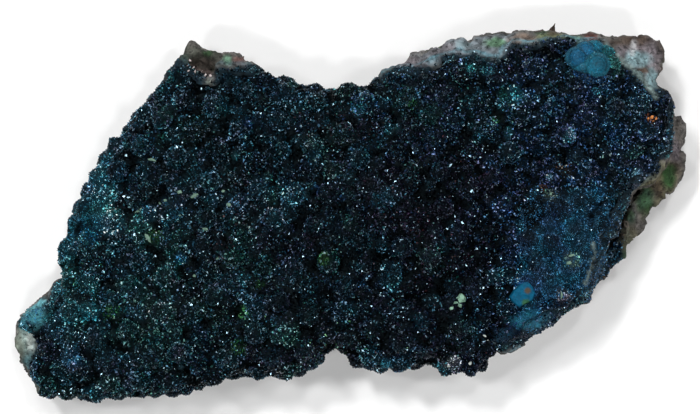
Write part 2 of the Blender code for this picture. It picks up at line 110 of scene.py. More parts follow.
TOP_LIFT = 0.05  # what smoothing took off the balls' tops, less the room that the crystals need
THIN_SHARE = 0.5  # a crease never takes more than this share of the crust's thickness
EDGE_SINK = 0.3  # and no more than this from the crust's steep edge, which keeps its outline

# Balls of the crust, found again from their tops
BALL_LOW = (-0.35, 0.8)  # height of a top over the levelled skin, then the radius that goes with it
BALL_HIGH = (0.8, 2.45)
BALL_SPACING = 0.78  # least distance between two centres, as a share of the sum of their radii
BALL_SWELL = 1.25  # how much wider than its place a ball is, so that neighbours meet in a crease
BALL_SINK = 0.25  # depth of a ball's centre under the skin, as a share of its radius
BALL_RELIEF = 1.0  # how much of the balls' own relief is cut into the creases between them
BALLS_TRIED = 7  # nearest balls that may own a point

# Crystals
CRYSTAL_RADIUS = (0.077, 0.25)
CRYSTAL_HEIGHT = (0.7, 1.3)  # as a share of the radius
CRYSTAL_LEAN = 0.42
CRYSTAL_STRETCH = (0.7, 1.3)
CRYSTAL_SKEW = 0.35  # of its tip, as a share of the radius
CRYSTAL_SINK = 0.45  # how deep a crystal's base lies, as a share of its radius
SOWING_STEP = [[0.7549], [0.5698]]  # from one crystal on a face to the next, which spreads them evenly
CRYSTALS_PER_FACE = 6  # on the crust's upper side
CRYSTALS_BELOW = 3  # on its steep and lower sides, where they are coarser
COARSER = 1.3
FRINGE_CRYSTALS = 3  # to a face of the rock beside the crust
FRINGE_TOPNESS = 0.55  # they are coloured like those this far up a ball
FRINGE_CLEAR = 4.0  # there are none where the crust lies nearer than this in front of the rock
TOP_FINENESS = 0.3  # crystals on a ball's top are finer by this share
TIP_PAINTED_LIGHT = 1.35  # painted light: a crystal's tip is painted lighter, as if it let more light through than its base
# painted shade: a crystal's base is painted darker
BASE_PAINTED_SHADE = 0.55

# Shapes of a crystal: corners as (turn, reach) round its base and (turn, reach) of its top points, then
# its triangles. Each is closed.
PYRAMID_3 = ([(0, 1), (1 / 3, 1), (2 / 3, 1)], [(0, 0)], [(0, 1, 3), (1, 2, 3), (2, 0, 3), (2, 1, 0)])
PYRAMID_4 = (
    [(0, 1), (0.25, 0.85), (0.5, 1), (0.75, 0.85)],
    [(0, 0)],
    [(0, 1, 4), (1, 2, 4), (2, 3, 4), (3, 0, 4), (2, 1, 0), (3, 2, 0)],
)
ROOF = (
    [(0.08, 1.1), (0.42, 1.1), (0.58, 1.1), (0.92, 1.1)],
    [(0, 0.45), (0.5, 0.45)],
    [(0, 1, 5), (0, 5, 4), (1, 2, 5), (2, 3, 4), (2, 4, 5), (3, 0, 4), (2, 1, 0), (3, 2, 0)],
)
SHAPE_SHARES = [(PYRAMID_3, 0.60), (PYRAMID_4, 0.25), (ROOF, 0.15)]

# Colours of the crust
NAVY = (0.0006, 0.0022, 0.0048)
VIOLET_BLACK = (0.0012, 0.0012, 0.003)
# Colours of the painted sheen on the balls' tops, at the left and at the right
SHEEN_LEFT = (0.0055, 0.014, 0.018)
SHEEN_RIGHT = (0.008, 0.0135, 0.02)
TEAL = (0.0034, 0.019, 0.027)
SEA_GREEN = (0.0045, 0.022, 0.019)
GREEN = (0.011, 0.045, 0.013)
DEEP_BLUE = (0.0022, 0.012, 0.03)
FLANK_BLUE = (0.012, 0.06, 0.102)
EDGE_BLUE = (0.011, 0.068, 0.083)
CHIP_FILM = (0.012, 0.09, 0.135)
BRIGHT_BLUE = (0.01, 0.085, 0.17)
TURQUOISE = (0.015, 0.085, 0.1)
RIM_PALE = (0.033, 0.07, 0.075)
PALE_BLUE = (0.12, 0.33, 0.4)
PALE_GREEN = (0.11, 0.23, 0.18)
RUST = (0.05, 0.021, 0.009)
DARK_RED = (0.006, 0.002, 0.0022)
GREY = (0.16, 0.19, 0.2)
TINT_SPREAD = 1.85  # of the crystals' brightness, in its natural logarithm
TINT_MOST = 10.0  # no crystal is brighter than its colour by more than this
TINT_GAIN = 1.33
PALENESS = 0.5  # how much of its colour the brightest crystal loses
BALL_SPREAD = 0.65  # of the balls' brightness, likewise
BALL_SHARE = 0.42  # share of a ball's crystals that take the ball's own colour
MOTTLE = 0.35
HUE_SIZES = (3.2, 1.1)  # of the patches that are redder, greener or bluer than their surroundings
HUE_SHIFT = 0.6  # how much less red the cool ones have, as a natural logarithm
WARM_SHADE = 0.5  # and how much darker the warm ones are
GREEN_SHIFT = 0.2
OVERALL = (1.04, 1.06, 1.2)  # a last correction of the druse's red, green and blue
EVEN_SPREAD = 0.4  # share of TINT_SPREAD that the crystals with painted sheen and the pale ones keep
SPOT_SPREAD = 0.6  # and those of the spots
SHEEN_POWER = 1.5  # above 1, most balls have little painted sheen
BALL_HIGHLIGHT_GAIN = 0.9  # painted highlight: crystals round a ball's edge are lighter by this
BALL_HIGHLIGHT = (0.66, 0.09)  # where on the ball that highlight lies, from 0 at its foot to 1 at its top, and how wide
CREASE = (0.36, 0.66)  # where the painted shade in the creases lies, likewise
PAINTED_CREASE_SHADE = 0.04  # and how dark that painted shade is
CREASE_POWER = 1.2
# where on a ball its painted sheen starts and where it is full, from 0 at its foot to 1 at its top
SHEEN_TOP = (0.5, 0.82)
TOP_SHEEN = 0.8  # share of the crystals on the tops of the balls with the most painted sheen that take it
SHEEN_MIX = 0.65  # share of the painted sheen's colour in them
SHEEN_CHANGE = (-10.0, 12.0)  # x where the left painted sheen starts to give way to the right one, and where it has
BED_TINT = 0.14  # the skin under the crystals, against the balls' own colours
BED_SPOT = 0.3  # and against the spots' colours
RIM_REACH = 1.1  # where the crust's upper edge comes this near the rock it is pale
RIM_EDGE = 0.4
RIM_LOWEST = 8.5
RIM_SHARE = 0.35
RIM_LEFT = (-11.0, 0.0)  # x between which the rock's pale line grows fainter to the left
RIM_RIGHT = (28.0, 31.0)  # and to the right

DRUSE_NAMES = ["druse_left", "druse_middle_left", "druse_middle", "druse_middle_right", "druse_right"]

# Broad colour of the druse: x, y, radius along x, along y, colour, share of the crystals that take it
CRUST_AREAS = [
    (0.0, 0.0, 60.0, 60.0, TEAL, 0.22),
    (0.0, 0.0, 60.0, 60.0, SEA_GREEN, 0.08),
    (-27.0, -3.0, 15.0, 22.0, TEAL, 0.5),
    (-24.0, -12.0, 14.0, 9.0, SEA_GREEN, 0.34),
    (-18.0, 6.0, 10.0, 9.0, SEA_GREEN, 0.22),
    (-16.0, 11.0, 10.0, 7.0, TEAL, 0.4),
    (-33.5, -2.0, 3.5, 11.0, TURQUOISE, 0.18),
    (-2.0, 8.0, 14.0, 8.0, TEAL, 0.22),
    (24.0, 12.0, 16.0, 8.0, DEEP_BLUE, 0.58),
    (14.0, 13.0, 12.0, 4.5, TEAL, 0.5),
    (14.0, 13.0, 12.0, 4.5, SEA_GREEN, 0.2),
    (32.0, 8.0, 6.0, 8.0, TEAL, 0.25),
    (24.0, -1.0, 7.0, 10.0, DEEP_BLUE, 0.6),
    (22.0, -12.0, 5.0, 5.0, DEEP_BLUE, 0.6),
    (13.0, -3.0, 6.0, 13.0, VIOLET_BLACK, 0.5),
    (7.0, 4.0, 7.0, 7.0, VIOLET_BLACK, 0.35),
    (-8.0, -2.0, 6.0, 9.0, VIOLET_BLACK, 0.2),
    (2.0, -16.0, 8.0, 4.0, TEAL, 0.1),
    (-31.9, -0.7, 3.4, 4.4, EDGE_BLUE, 0.85),
    (-30.5, 6.0, 3.0, 5.0, EDGE_BLUE, 0.35),
    (-34.5, -7.5, 2.4, 3.5, EDGE_BLUE, 0.4),
    (-33.0, -5.0, 2.0, 3.0, GREEN, 0.06),
    (-35.0, -11.5, 4.0, 3.0, EDGE_BLUE, 0.4),
    (0.0, -17.5, 14.0, 3.2, VIOLET_BLACK, 0.45),
    (-2.5, -15.5, 4.0, 2.5, GREEN, 0.1),
    (-1.0, 10.6, 4.5, 1.4, DARK_RED, 0.45),
    (-14.0, -2.0, 2.5, 5.0, DARK_RED, 0.15),
    (10.0, -6.0, 5.0, 8.0, DARK_RED, 0.12),
    (-10.0, -17.0, 10.0, 4.0, TEAL, 0.08),
]

# The smoother blue flank at the right, with a sharp left edge
SMOOTH_FLANK = [(20.2, -11.5), (30.0, -9.0), (32.0, 3.0), (21.5, 2.6), (20.0, 0.0)]
SMOOTH_EDGE = 1.0
FLANK_SHARE = 0.9  # of its crystals that take its colour
SMOOTH_RELIEF_CUT = 0.5  # its balls are lower by this share
SMOOTH_EVENNESS = 0.8  # and its crystals more alike by this share
SMOOTH_FINENESS = 0.3
SMOOTH_CREASES = 0.25  # its painted crease shade is lighter, as if this much further up a ball
# Smooth places elsewhere: x, y, radius, share of the flank's smoothness
SMOOTH_PATCHES = [
    (20.9, -12.9, 2.6, 1.0),
    (24.6, -9.8, 1.8, 1.0),
    (34.1, 4.5, 1.0, 1.0),
    (4.3, -17.9, 1.1, 1.0),
    (-37.9, -12.6, 2.2, 1.0),
    (-32.0, -0.7, 3.6, 0.9),
    (-30.5, 6.0, 3.6, 0.5),
    (-34.5, -8.5, 7.0, 0.5),
]

# Spots of other colour on the druse: x, y, radius, colour, share of the crystals that take it
CRUST_SPOTS = [
    (1.0, 12.0, 1.1, TURQUOISE, 0.45),
    (-20.9, 13.2, 0.6, TURQUOISE, 0.5),
    (-13.8, 6.7, 0.7, TURQUOISE, 0.6),
    (-7.1, 7.5, 0.7, TEAL, 0.6),
    (-12.0, -2.2, 0.5, TURQUOISE, 0.6),
    (-23.3, -2.7, 1.2, GREEN, 0.6),
    (-22.8, -4.1, 1.0, SEA_GREEN, 0.6),
    (-3.1, -5.4, 1.0, GREEN, 0.8),
    (-20.1, -5.4, 0.7, BRIGHT_BLUE, 0.6),
    (-12.6, -7.9, 1.0, TURQUOISE, 0.5),
    (-10.7, -8.4, 0.7, GREEN, 0.5),
    (-30.8, -2.6, 1.6, BRIGHT_BLUE, 0.25),
    (-8.5, -0.1, 1.1, TEAL, 0.6),
    (-4.0, 2.8, 0.8, DEEP_BLUE, 0.7),
    (-11.9, 10.9, 1.0, DEEP_BLUE, 0.7),
    (-21.9, 12.0, 1.2, SEA_GREEN, 0.7),
    (-14.5, 12.5, 1.2, TEAL, 0.6),
    (-6.6, 15.7, 1.2, SEA_GREEN, 0.6),
    (-3.8, 6.6, 1.3, TEAL, 0.5),
    (5.0, 10.0, 1.2, TURQUOISE, 0.5),
    (14.1, 10.6, 1.0, TURQUOISE, 0.5),
    (15.1, 8.8, 0.8, TURQUOISE, 0.5),
    (9.8, 11.9, 1.3, SEA_GREEN, 0.6),
    (19.9, 13.7, 1.1, TURQUOISE, 0.4),
    (18.2, 14.1, 1.0, SEA_GREEN, 0.6),
    (17.4, 11.4, 0.8, GREEN, 0.6),
    (18.8, 9.8, 0.8, TURQUOISE, 0.5),
    (26.0, 9.2, 1.0, TURQUOISE, 0.7),
    (26.2, 9.5, 0.5, PALE_BLUE, 0.35),
    (25.4, 5.3, 1.1, RUST, 0.25),
    (35.9, 11.3, 1.0, RUST, 0.35),
    (23.0, 2.9, 0.6, RUST, 0.5),
    (23.8, 2.2, 1.0, PALE_GREEN, 0.25),
    (23.6, 4.3, 0.5, PALE_BLUE, 0.6),
    (32.9, 6.8, 0.7, SEA_GREEN, 0.6),
    (34.1, 4.5, 0.8, PALE_BLUE, 0.8),
    (29.2, 14.5, 0.7, TURQUOISE, 0.5),
    (11.8, -1.3, 0.8, TEAL, 0.5),
    (3.7, 1.6, 1.4, TEAL, 0.6),
    (0.0, -1.0, 1.2, SEA_GREEN, 0.6),
    (-1.0, 1.9, 0.7, DEEP_BLUE, 0.7),
    (1.3, -6.3, 0.8, TEAL, 0.6),
    (1.3, -8.3, 0.6, BRIGHT_BLUE, 0.4),
    (20.4, -9.5, 1.7, BRIGHT_BLUE, 0.95),
    (21.2, -12.7, 2.0, CHIP_FILM, 0.85),
    (21.9, -11.9, 1.3, BRIGHT_BLUE, 0.35),
    (19.6, -13.7, 1.3, DEEP_BLUE, 0.8),
    (26.2, -5.6, 1.3, PALE_GREEN, 0.32),
    (25.1, -9.7, 1.1, GREY, 0.35),
    (7.4, 13.0, 0.7, GREEN, 0.5),
    (14.3, 17.2, 0.7, TURQUOISE, 0.5),
    (16.4, 16.9, 0.8, TURQUOISE, 0.5),
    (31.8, 16.6, 1.0, SEA_GREEN, 0.7),
    (31.6, 17.8, 0.7, GREEN, 0.6),
    (-20.2, -18.4, 0.6, PALE_BLUE, 0.6),
    (4.3, -17.9, 0.8, EDGE_BLUE, 0.9),
    (11.1, -18.6, 1.2, TURQUOISE, 0.4),
    (-12.7, -11.8, 1.0, GREEN, 0.6),
    (-28.2, -11.8, 1.4, GREEN, 0.5),
    (-13.3, -15.9, 1.2, GREEN, 0.6),
    (-32.9, -17.7, 0.7, BRIGHT_BLUE, 0.6),
    (12.3, -17.9, 1.2, GREY, 0.35),
    (-38.1, -12.2, 1.9, TURQUOISE, 0.6),
    (-38.6, -13.5, 1.3, TURQUOISE, 0.7),
    (-37.4, -11.6, 1.1, BRIGHT_BLUE, 0.3),
    (27.9, 16.3, 1.3, DEEP_BLUE, 0.7),
    (29.4, 15.8, 1.0, VIOLET_BLACK, 0.6),
    (-24.2, -10.6, 1.4, SEA_GREEN, 0.5),
    (-18.1, -14.1, 1.7, TEAL, 0.5),
    (-30.0, -14.1, 1.4, TEAL, 0.5),
    (-32.6, 1.4, 1.4, TEAL, 0.6),
    (-33.2, -17.2, 1.6, FLANK_BLUE, 0.7),
    (-27.6, 3.7, 1.0, TEAL, 0.6),
    (-25.2, 8.5, 1.0, TEAL, 0.6),
    (-2.6, 10.9, 1.0, TEAL, 0.5),
    (8.1, -12.9, 1.2, TEAL, 0.5),
]

# Colours of the rock
ROCK_GREY = (0.088, 0.082, 0.076)
SHELF = (0.112, 0.134, 0.15)
MAUVE = (0.15, 0.132, 0.146)
BLOCK_BROWN = (0.127, 0.11, 0.12)
ROCK_PALE = (0.175, 0.238, 0.222)
ROCK_BROWN = (0.05, 0.034, 0.025)
ROCK_RED = (0.1, 0.036, 0.03)
OLIVE = (0.085, 0.08, 0.048)
LIGHT_OLIVE = (0.12, 0.14, 0.07)
MALACHITE = (0.02, 0.064, 0.02)
LIGHT_GREEN = (0.054, 0.116, 0.066)
TAN = (0.15, 0.11, 0.085)
SLATE = (0.05, 0.052, 0.044)
SLATE_GREEN = (0.032, 0.06, 0.048)
VUG_BROWN = (0.042, 0.035, 0.03)
VUG_PINK = (0.165, 0.115, 0.112)
PALE_LICHEN = (0.13, 0.25, 0.17)
RIM_STONE = (0.13, 0.155, 0.13)
RIM_TEAL = (0.072, 0.152, 0.185)
RIM_PALE_GREEN = (0.14, 0.19, 0.185)
# painted shade: near-black in the crack and in the deep pocket beside it
PAINTED_CRACK_SHADE = (0.008, 0.007, 0.005)
UNDER_FRINGE = (0.003, 0.011, 0.017)
FILM_BLUE = (0.15, 0.24, 0.26)
FILM_PALE = (0.3, 0.3, 0.31)
FILM_BRIGHT = (0.082, 0.285, 0.33)
TEAL_STAIN = (0.04, 0.1, 0.105)
WHITE = (0.38, 0.42, 0.4)

# Broad colour of the bare rock: x, y, radius along x, along y, colour, strength
ROCK_AREAS = [
    (14.1, 19.8, 13.1, 2.6, SHELF, 0.9),
    (11.7, 19.2, 3.1, 1.4, MAUVE, 0.6),
    (13.5, 20.0, 1.2, 0.7, FILM_BLUE, 0.45),
    (7.5, 17.8, 3.0, 1.2, MAUVE, 0.7),
    (17.3, 20.3, 1.6, 0.8, LIGHT_GREEN, 0.9),
    (20.6, 20.7, 2.2, 0.9, TAN, 0.8),
    (24.3, 20.8, 2.4, 0.9, LIGHT_OLIVE, 0.85),
    (26.9, 20.6, 1.2, 0.7, LIGHT_GREEN, 0.9),
    (28.6, 20.7, 1.1, 1.0, ROCK_RED, 0.9),
    (34.9, 17.8, 3.1, 4.0, BLOCK_BROWN, 0.9),
    (31.3, 19.8, 2.1, 1.0, ROCK_BROWN, 0.85),
    (33.9, 20.7, 2.8, 0.9, ROCK_BROWN, 0.85),
    (32.5, 19.2, 1.4, 0.9, MAUVE, 0.8),
    (36.0, 18.8, 0.9, 1.6, MAUVE, 0.8),
    (32.6, 18.3, 0.8, 0.5, ROCK_BROWN, 0.7),
    (33.8, 19.8, 0.45, 1.0, FILM_PALE, 0.8),
    (34.3, 18.3, 2.0, 1.3, FILM_BLUE, 0.9),
    (36.0, 15.7, 1.2, 1.4, FILM_BLUE, 0.9),
    (34.9, 17.0, 1.3, 0.5, ROCK_BROWN, 0.95),
    (24.2, 21.9, 1.0, 1.0, ROCK_BROWN, 0.7),
    (38.1, 7.5, 1.8, 2.0, MAUVE, 0.95),
    (36.7, 3.1, 3.6, 4.2, OLIVE, 0.9),
    (38.3, 4.4, 1.1, 2.0, MALACHITE, 0.9),
    (37.0, 2.9, 0.9, 1.4, ROCK_BROWN, 0.7),
    (35.4, 1.6, 1.3, 2.3, MALACHITE, 0.85),
    (33.6, -0.4, 0.9, 1.2, MALACHITE, 0.7),
    (33.4, -3.0, 1.8, 2.0, OLIVE, 0.8),
    (31.6, -5.6, 1.2, 1.6, ROCK_BROWN, 0.7),
    (20.3, -15.1, 1.4, 1.0, ROCK_BROWN, 0.6),
    (-18.1, 18.6, 4.8, 2.1, SLATE, 0.9),
    (-20.1, 17.8, 1.4, 1.4, SLATE_GREEN, 0.7),
    (-17.0, 19.1, 0.7, 0.6, MALACHITE, 0.7),
    (-17.6, 17.6, 2.0, 1.3, VUG_BROWN, 0.97),
    (-18.9, 17.0, 0.9, 0.8, VUG_PINK, 0.8),
    (-17.1, 16.6, 1.0, 0.6, VUG_PINK, 0.6),
    (30.2, -3.6, 0.9, 1.2, PAINTED_CRACK_SHADE, 0.95),
    (-14.6, 18.3, 0.6, 0.7, PALE_LICHEN, 0.9),
    (-13.2, 18.1, 1.0, 0.7, ROCK_RED, 0.6),
    (-12.3, 17.3, 0.6, 0.5, MAUVE, 0.8),
    (-36.1, -9.5, 1.4, 1.4, ROCK_BROWN, 0.8),
    (-37.6, -11.4, 2.0, 1.6, FILM_BRIGHT, 0.85),
    (-38.9, -13.2, 1.3, 1.4, FILM_BRIGHT, 0.75),
    (-39.0, -15.3, 1.7, 3.1, ROCK_PALE, 0.85),
    (-38.3, -15.4, 0.7, 1.8, WHITE, 0.7),
    (-39.8, -15.9, 0.8, 2.6, OLIVE, 0.45),
    (-38.3, -18.6, 1.4, 2.3, TEAL_STAIN, 0.9),
    (-37.3, -21.3, 2.4, 1.2, OLIVE, 0.5),
]

# Where the druse reaches further over the rock: x, y, radius, how much further
FRINGE_REACHES = [
    (22.6, -12.4, 2.8, 3.0),
    (29.6, -7.4, 3.0, 3.0),
    (25.6, -10.0, 2.6, 1.2),
    (15.0, 18.5, 9.0, 0.2),
    (-12.5, 16.8, 2.0, 0.8),
    (-38.8, -13.8, 2.2, -1.2),
    (35.4, 16.2, 2.2, -1.4),
    (36.6, 12.6, 2.4, 1.0),
    (33.0, 1.6, 3.0, 1.0),
    (31.0, -3.0, 2.4, 0.9),
]

# Lines on the bare rock: points in plan, half width, colour, strength, how far each stands up
LONG_VEIN = [(35.7, 4.3), (34.3, 3.5), (33.1, 2.3), (32.2, 0.1), (31.6, -2.0), (30.7, -4.4), (30.4, -5.6)]
ROCK_LINES = [
    (LONG_VEIN, 0.22, RIM_STONE, 1.0, 0.1),
    ([(34.9, 2.7), (33.8, 1.6), (33.0, -0.4), (32.4, -2.4)], 0.28, PAINTED_CRACK_SHADE, 1.0, -0.5),
    ([(33.9, 20.4), (33.5, 19.0)], 0.3, FILM_PALE, 0.6, 0.0),
    ([(35.9, 17.0), (36.4, 16.2)], 0.35, FILM_BLUE, 0.7, 0.0),
    ([(-21.2, 17.5), (-19.7, 16.6), (-18.1, 15.9), (-15.9, 15.3)], 0.25, RIM_STONE, 0.7, 0.1),
    ([(26.0, -10.6), (24.4, -12.3), (22.2, -13.9)], 0.3, RIM_STONE, 0.7, 0.0),
]
# Pockets in the rock: x, y, radius, depth
POCKETS = [(-17.7, 17.5, 1.7, 1.2), (30.2, -3.6, 0.9, 1.2), (32.6, 18.3, 0.7, 0.3), (34.4, 16.9, 0.8, 0.35)]
# A corner that the remeshing took off: x, y, radius, how far it is pushed out along y
CORNER = (-19.1, 19.9, 0.8, 0.8)
# Smooth films over rock and druse alike: x, y, radius along x, along y, colour, strength
FILMS = [
    (21.2, -12.9, 2.6, 1.1, CHIP_FILM, 0.8),
    (18.3, -14.6, 1.2, 1.2, (0.008, 0.03, 0.055), 0.8),
    (22.8, -12.3, 1.8, 1.0, (0.008, 0.045, 0.075), 0.8),
    (-37.9, -12.4, 1.8, 1.6, FILM_BRIGHT, 0.62),
]
# Pale lines along the druse's edge, over rock and crystals: points in plan, half width, colour, strength
PALE_EDGE = [(30.4, 20.0), (31.6, 18.7), (32.8, 17.7), (34.3, 16.5), (35.2, 15.3), (36.3, 13.8)]
FILM_LINES = [
    (PALE_EDGE, 0.26, RIM_PALE_GREEN, 0.9),
    ([(28.8, -3.5), (29.0, -5.0), (28.6, -6.6), (27.9, -8.4)], 0.14, RIM_PALE_GREEN, 0.7),
]

FLAKE_COLOUR = (0.13, 0.215, 0.17)
LUMP_COLOUR = (0.18, 0.32, 0.24)
ORANGE = (0.45, 0.17, 0.055)
QUARTZ_COLOUR = (0.48, 0.42, 0.415)
STONE_POINTS = 14
STONE_LIFT = 0.12  # the grains lie between the crystals' tips
STONE_TILT = 0.6  # how far they follow the skin's slope, where 1 is all of it

# Pale flakes that lie on the druse: x, y, length, width, thickness, turn in degrees
FLAKES = [
    (-23.5, 6.3, 1.19, 0.48, 0.25, -8),
    (-18.5, 2.1, 1.31, 0.71, 0.3, 0),
    (-21.9, 1.5, 0.83, 0.71, 0.35, 40),
    (-22.6, 1.1, 0.71, 0.48, 0.3, 10),
    (-20.2, -0.3, 1.07, 0.59, 0.35, -60),
    (-17.1, -1.9, 1.55, 0.59, 0.35, -55),
    (-23.9, -3.0, 1.67, 0.59, 0.3, -62),
    (-25.2, 0.3, 1.78, 0.48, 0.3, 18),
    (-15.0, 2.6, 0.59, 0.36, 0.25, 0),
    (-14.4, 1.0, 0.83, 0.48, 0.25, -15),
    (-18.5, -7.5, 0.95, 0.59, 0.3, -20),
    (-15.7, -5.4, 1.19, 0.59, 0.3, -50),
    (-20.2, 2.5, 0.59, 0.83, 0.3, 70),
    (-10.8, 4.8, 1.19, 0.36, 0.25, 15),
    (26.2, -5.0, 1.07, 0.48, 0.3, 60),
    (26.7, -5.8, 0.95, 0.59, 0.3, -40),
    (25.9, -5.9, 0.71, 0.48, 0.3, 20),
    (25.0, -9.7, 1.78, 0.48, 0.35, -35),
    (23.8, 2.3, 0.71, 0.48, 0.3, 10),
    (-12.0, -2.1, 0.71, 0.48, 0.3, 60),
]
# The pale green lump at the lower right, in the same terms
PALE_LUMP = [
    (12.5, -10.6, 1.75, 1.35, 1.0, 30),
    (13.2, -10.1, 1.35, 1.2, 0.9, -20),
    (12.0, -11.2, 0.9, 0.75, 0.7, 0),
    (13.0, -10.9, 1.1, 0.9, 0.7, 50),
    (12.7, -10.0, 0.9, 0.8, 0.8, 10),
]
# The orange grains at the right
ORANGE_GRAINS = [
    (35.8, 11.4, 0.95, 0.65, 0.55, -10),
    (35.3, 11.2, 0.6, 0.48, 0.45, 30),
    (36.3, 11.2, 0.48, 0.48, 0.4, 0),
    (35.9, 10.9, 0.55, 0.4, 0.45, 60),
]
# The grey-white grains at the bottom
WHITE_GRAINS = [
    (12.2, -17.7, 0.83, 0.59, 0.4, 20),
    (12.8, -17.2, 0.59, 0.48, 0.4, -30),
    (11.7, -18.2, 0.59, 0.48, 0.3, 0),
    (14.3, -17.8, 0.48, 0.71, 0.4, 0),
    (16.4, -15.1, 0.48, 0.48, 0.3, 0),
    (16.0, -14.6, 0.48, 0.59, 0.3, 0),
]
# Quartz grains in the pocket
QUARTZ = [
    (-19.1, 18.2, 0.59, 0.59, 0.6, 0),
    (-19.4, 17.5, 0.48, 0.48, 0.5, 0),
    (-18.7, 17.3, 0.71, 0.71, 0.8, 30),
    (-17.8, 16.8, 0.48, 0.48, 0.5, 0),
    (-16.6, 16.3, 0.48, 0.48, 0.4, 0),
    (-18.4, 16.8, 0.59, 0.48, 0.5, 0),
    (-19.2, 16.9, 0.59, 0.59, 0.5, 0),
    (-17.2, 16.4, 0.48, 0.48, 0.4, 0),
]

# The bright blue chip at the lower right: its outline, its colour and the spots on it, as in FILMS
BLUE_CHIP = [
    (19.28, -10.65), (20.1, -11.26), (20.92, -10.79), (21.74, -10.38), (22.08, -9.43),
    (21.74, -8.46), (21.05, -7.79), (20.24, -8.33), (19.41, -9.15), (18.87, -9.97),
]
CHIP_BLUE = (0.001, 0.072, 0.14)
CHIP_SPOTS = [(21.1, -9.2, 0.5, (0.06, 0.045, 0.03), 1.0), (20.9, -10.7, 0.6, (0.02, 0.08, 0.04), 1.0)]
CHIP_HEIGHT = 0.85
CHIP_ROUND = 60  # points round a chip
# Rings up its side, as shares of its outline and of its height, then those across its top
CHIP_SIDE = [(0.9, -0.9), (1.0, -0.25), (0.985, 0.35), (0.93, 0.75)]
CHIP_TOP = (0.86, 0.06)
CHIP_RINGS = 14
CHIP_FALL = 0.06  # how much lower it lies for each millimetre from its middle

# The blue balls: x, y, radius, how far their top lies under the solid's, colour, size of the crystals on them
BALL_BLUE = (0.005, 0.075, 0.15)
BALL_TEAL = (0.006, 0.09, 0.145)
BALL_DEEP = (0.004, 0.016, 0.04)
BALL_SEA = (0.01, 0.07, 0.085)
BALL_GREEN = (0.009, 0.04, 0.038)
NODULES = [
    (29.25, 17.5, 1.5, 0.0, BALL_TEAL, 1.0),
    (26.85, 18.4, 1.3, 0.1, BALL_BLUE, 1.0),
    (27.5, 17.3, 1.05, 0.15, BALL_TEAL, 1.0),
    (29.0, 19.35, 1.15, 0.3, BALL_TEAL, 1.2),
    (27.85, 19.15, 1.2, 0.2, BALL_BLUE, 1.0),
    (28.4, 16.1, 0.85, 0.5, BALL_DEEP, 2.4),
    (27.2, 16.5, 0.75, 0.55, BALL_DEEP, 2.4),
    (30.35, 18.8, 1.05, 0.45, BALL_SEA, 1.8),
    (30.95, 17.6, 1.0, 0.6, BALL_GREEN, 2.4),
    (29.6, 16.0, 0.65, 0.55, BALL_DEEP, 2.4),
]
NODULE_EDGE = (0.02, 0.1, 0.125)  # the balls are paler round their edges
NODULE_EDGE_PLACE = (0.62, 0.92)  # from where to where that begins, in radii from the middle
NODULE_EDGE_SHARE = 0.45
SMOOTH_BALL = 1.5  # only the balls with crystals finer than this have the pale edge
NODULE_RINGS = 24.0  # waves of the faint rings round a ball's top, in radians across its radius
NODULE_RING_TINT = 0.2
NODULE_CREASE_SHADE = 0.25  # width of the painted shade in the dark creases between the balls
FUR_PER_FACE = 2  # very fine crystals on the balls
FUR_RADIUS = (0.035, 0.075)
FUR_SPREAD = 0.45

# The sliver of rock that stands out over the back shelf
SLIVER_START = (24.35, 21.2, 5.2)
SLIVER_TIP = (24.7, 22.84, 5.6)
SLIVER_RADIUS = 0.85
SLIVER_BEND = 0.18
SLIVER_ROUND = 9  # points in a ring
SLIVER_RINGS = 12

FLOOR_SIZE = 8.0  # metres, like FLOOR_GAP and CAMERA_PLACE
FLOOR_GAP = 0.00005
FLOOR_COLOUR = (0.9, 0.9, 0.9, 1)
CAMERA_PLACE = (0.0, 0.00072, 0.4737)
CAMERA_LENS = 200.0  # millimetres, like the next
CAMERA_SENSOR = 36.0
LIGHT_DISTANCE = 4.0  # metres
# Lights: direction, half angle in degrees as seen from the specimen, radiance
KEY = ((-0.45, 0.55, 1.25), 3.6, 90.0)
SOFTBOX = ((-0.1, 0.9, 1.0), 13.0, 2.0)
FILL = ((0.5, -0.2, 1.2), 26.0, 0.2)
LAMP = (3.0, 58.0)  # half angle and radiance of each small lamp
SKY = (0.12, 0.9, 0.03)  # how far up the pale horizon reaches, its strength and the zenith's
# Small lamps all round, whose mirror images are the crystals' glints: azimuth, elevation in degrees
LAMPS = [(15, 52), (68, 66), (110, 48), (165, 60), (215, 55), (262, 68), (310, 50)]


def added(name, data):
    """A new object in the scene."""
    made = bpy.data.objects.new(name, data)
    bpy.context.scene.collection.objects.link(made)
    return made


def cad_mesh(node):
    return frame["nodes"][node].data


def rows_of(items, attribute, width, kind=np.float32):
    """One attribute of each item, a row for each."""
    flat = np.empty(len(items) * width, kind)
    items.foreach_get(attribute, flat)
    return flat.reshape(-1, width)


def points_of(mesh):
    """The mesh's vertices, in millimetres."""
    return rows_of(mesh.vertices, "co", 3).astype(float) / MM


def normals_of(mesh):
    return rows_of(mesh.vertices, "normal", 3).astype(float)


def quads_of(mesh):
    """The four corners of each face. A voxel remesh makes quads only."""
    return rows_of(mesh.loops, "vertex_index", 1, np.int32).reshape(-1, 4)


def set_points(mesh, points):
    mesh.vertices.foreach_set("co", (points * MM).astype(np.float32).ravel())
    mesh.update()


def mesh_of(name, points, faces):
    mesh = bpy.data.meshes.new(name)
    mesh.from_pydata((points * MM).tolist(), [], faces)
    return mesh


def mesh_from(shape, name):
    """The mesh of a bmesh, which is freed."""
    mesh = bpy.data.meshes.new(name)
    shape.to_mesh(mesh)
    shape.free()
    return mesh


def modified(piece, kind, **values):
    """Gives a piece one modifier and applies it."""
    modifier = piece.modifiers.new(kind, kind)
    for name, value in values.items():
        setattr(modifier, name, value)
    graph = bpy.context.evaluated_depsgraph_get()
    piece.data = bpy.data.meshes.new_from_object(piece.evaluated_get(graph))
    piece.modifiers.clear()


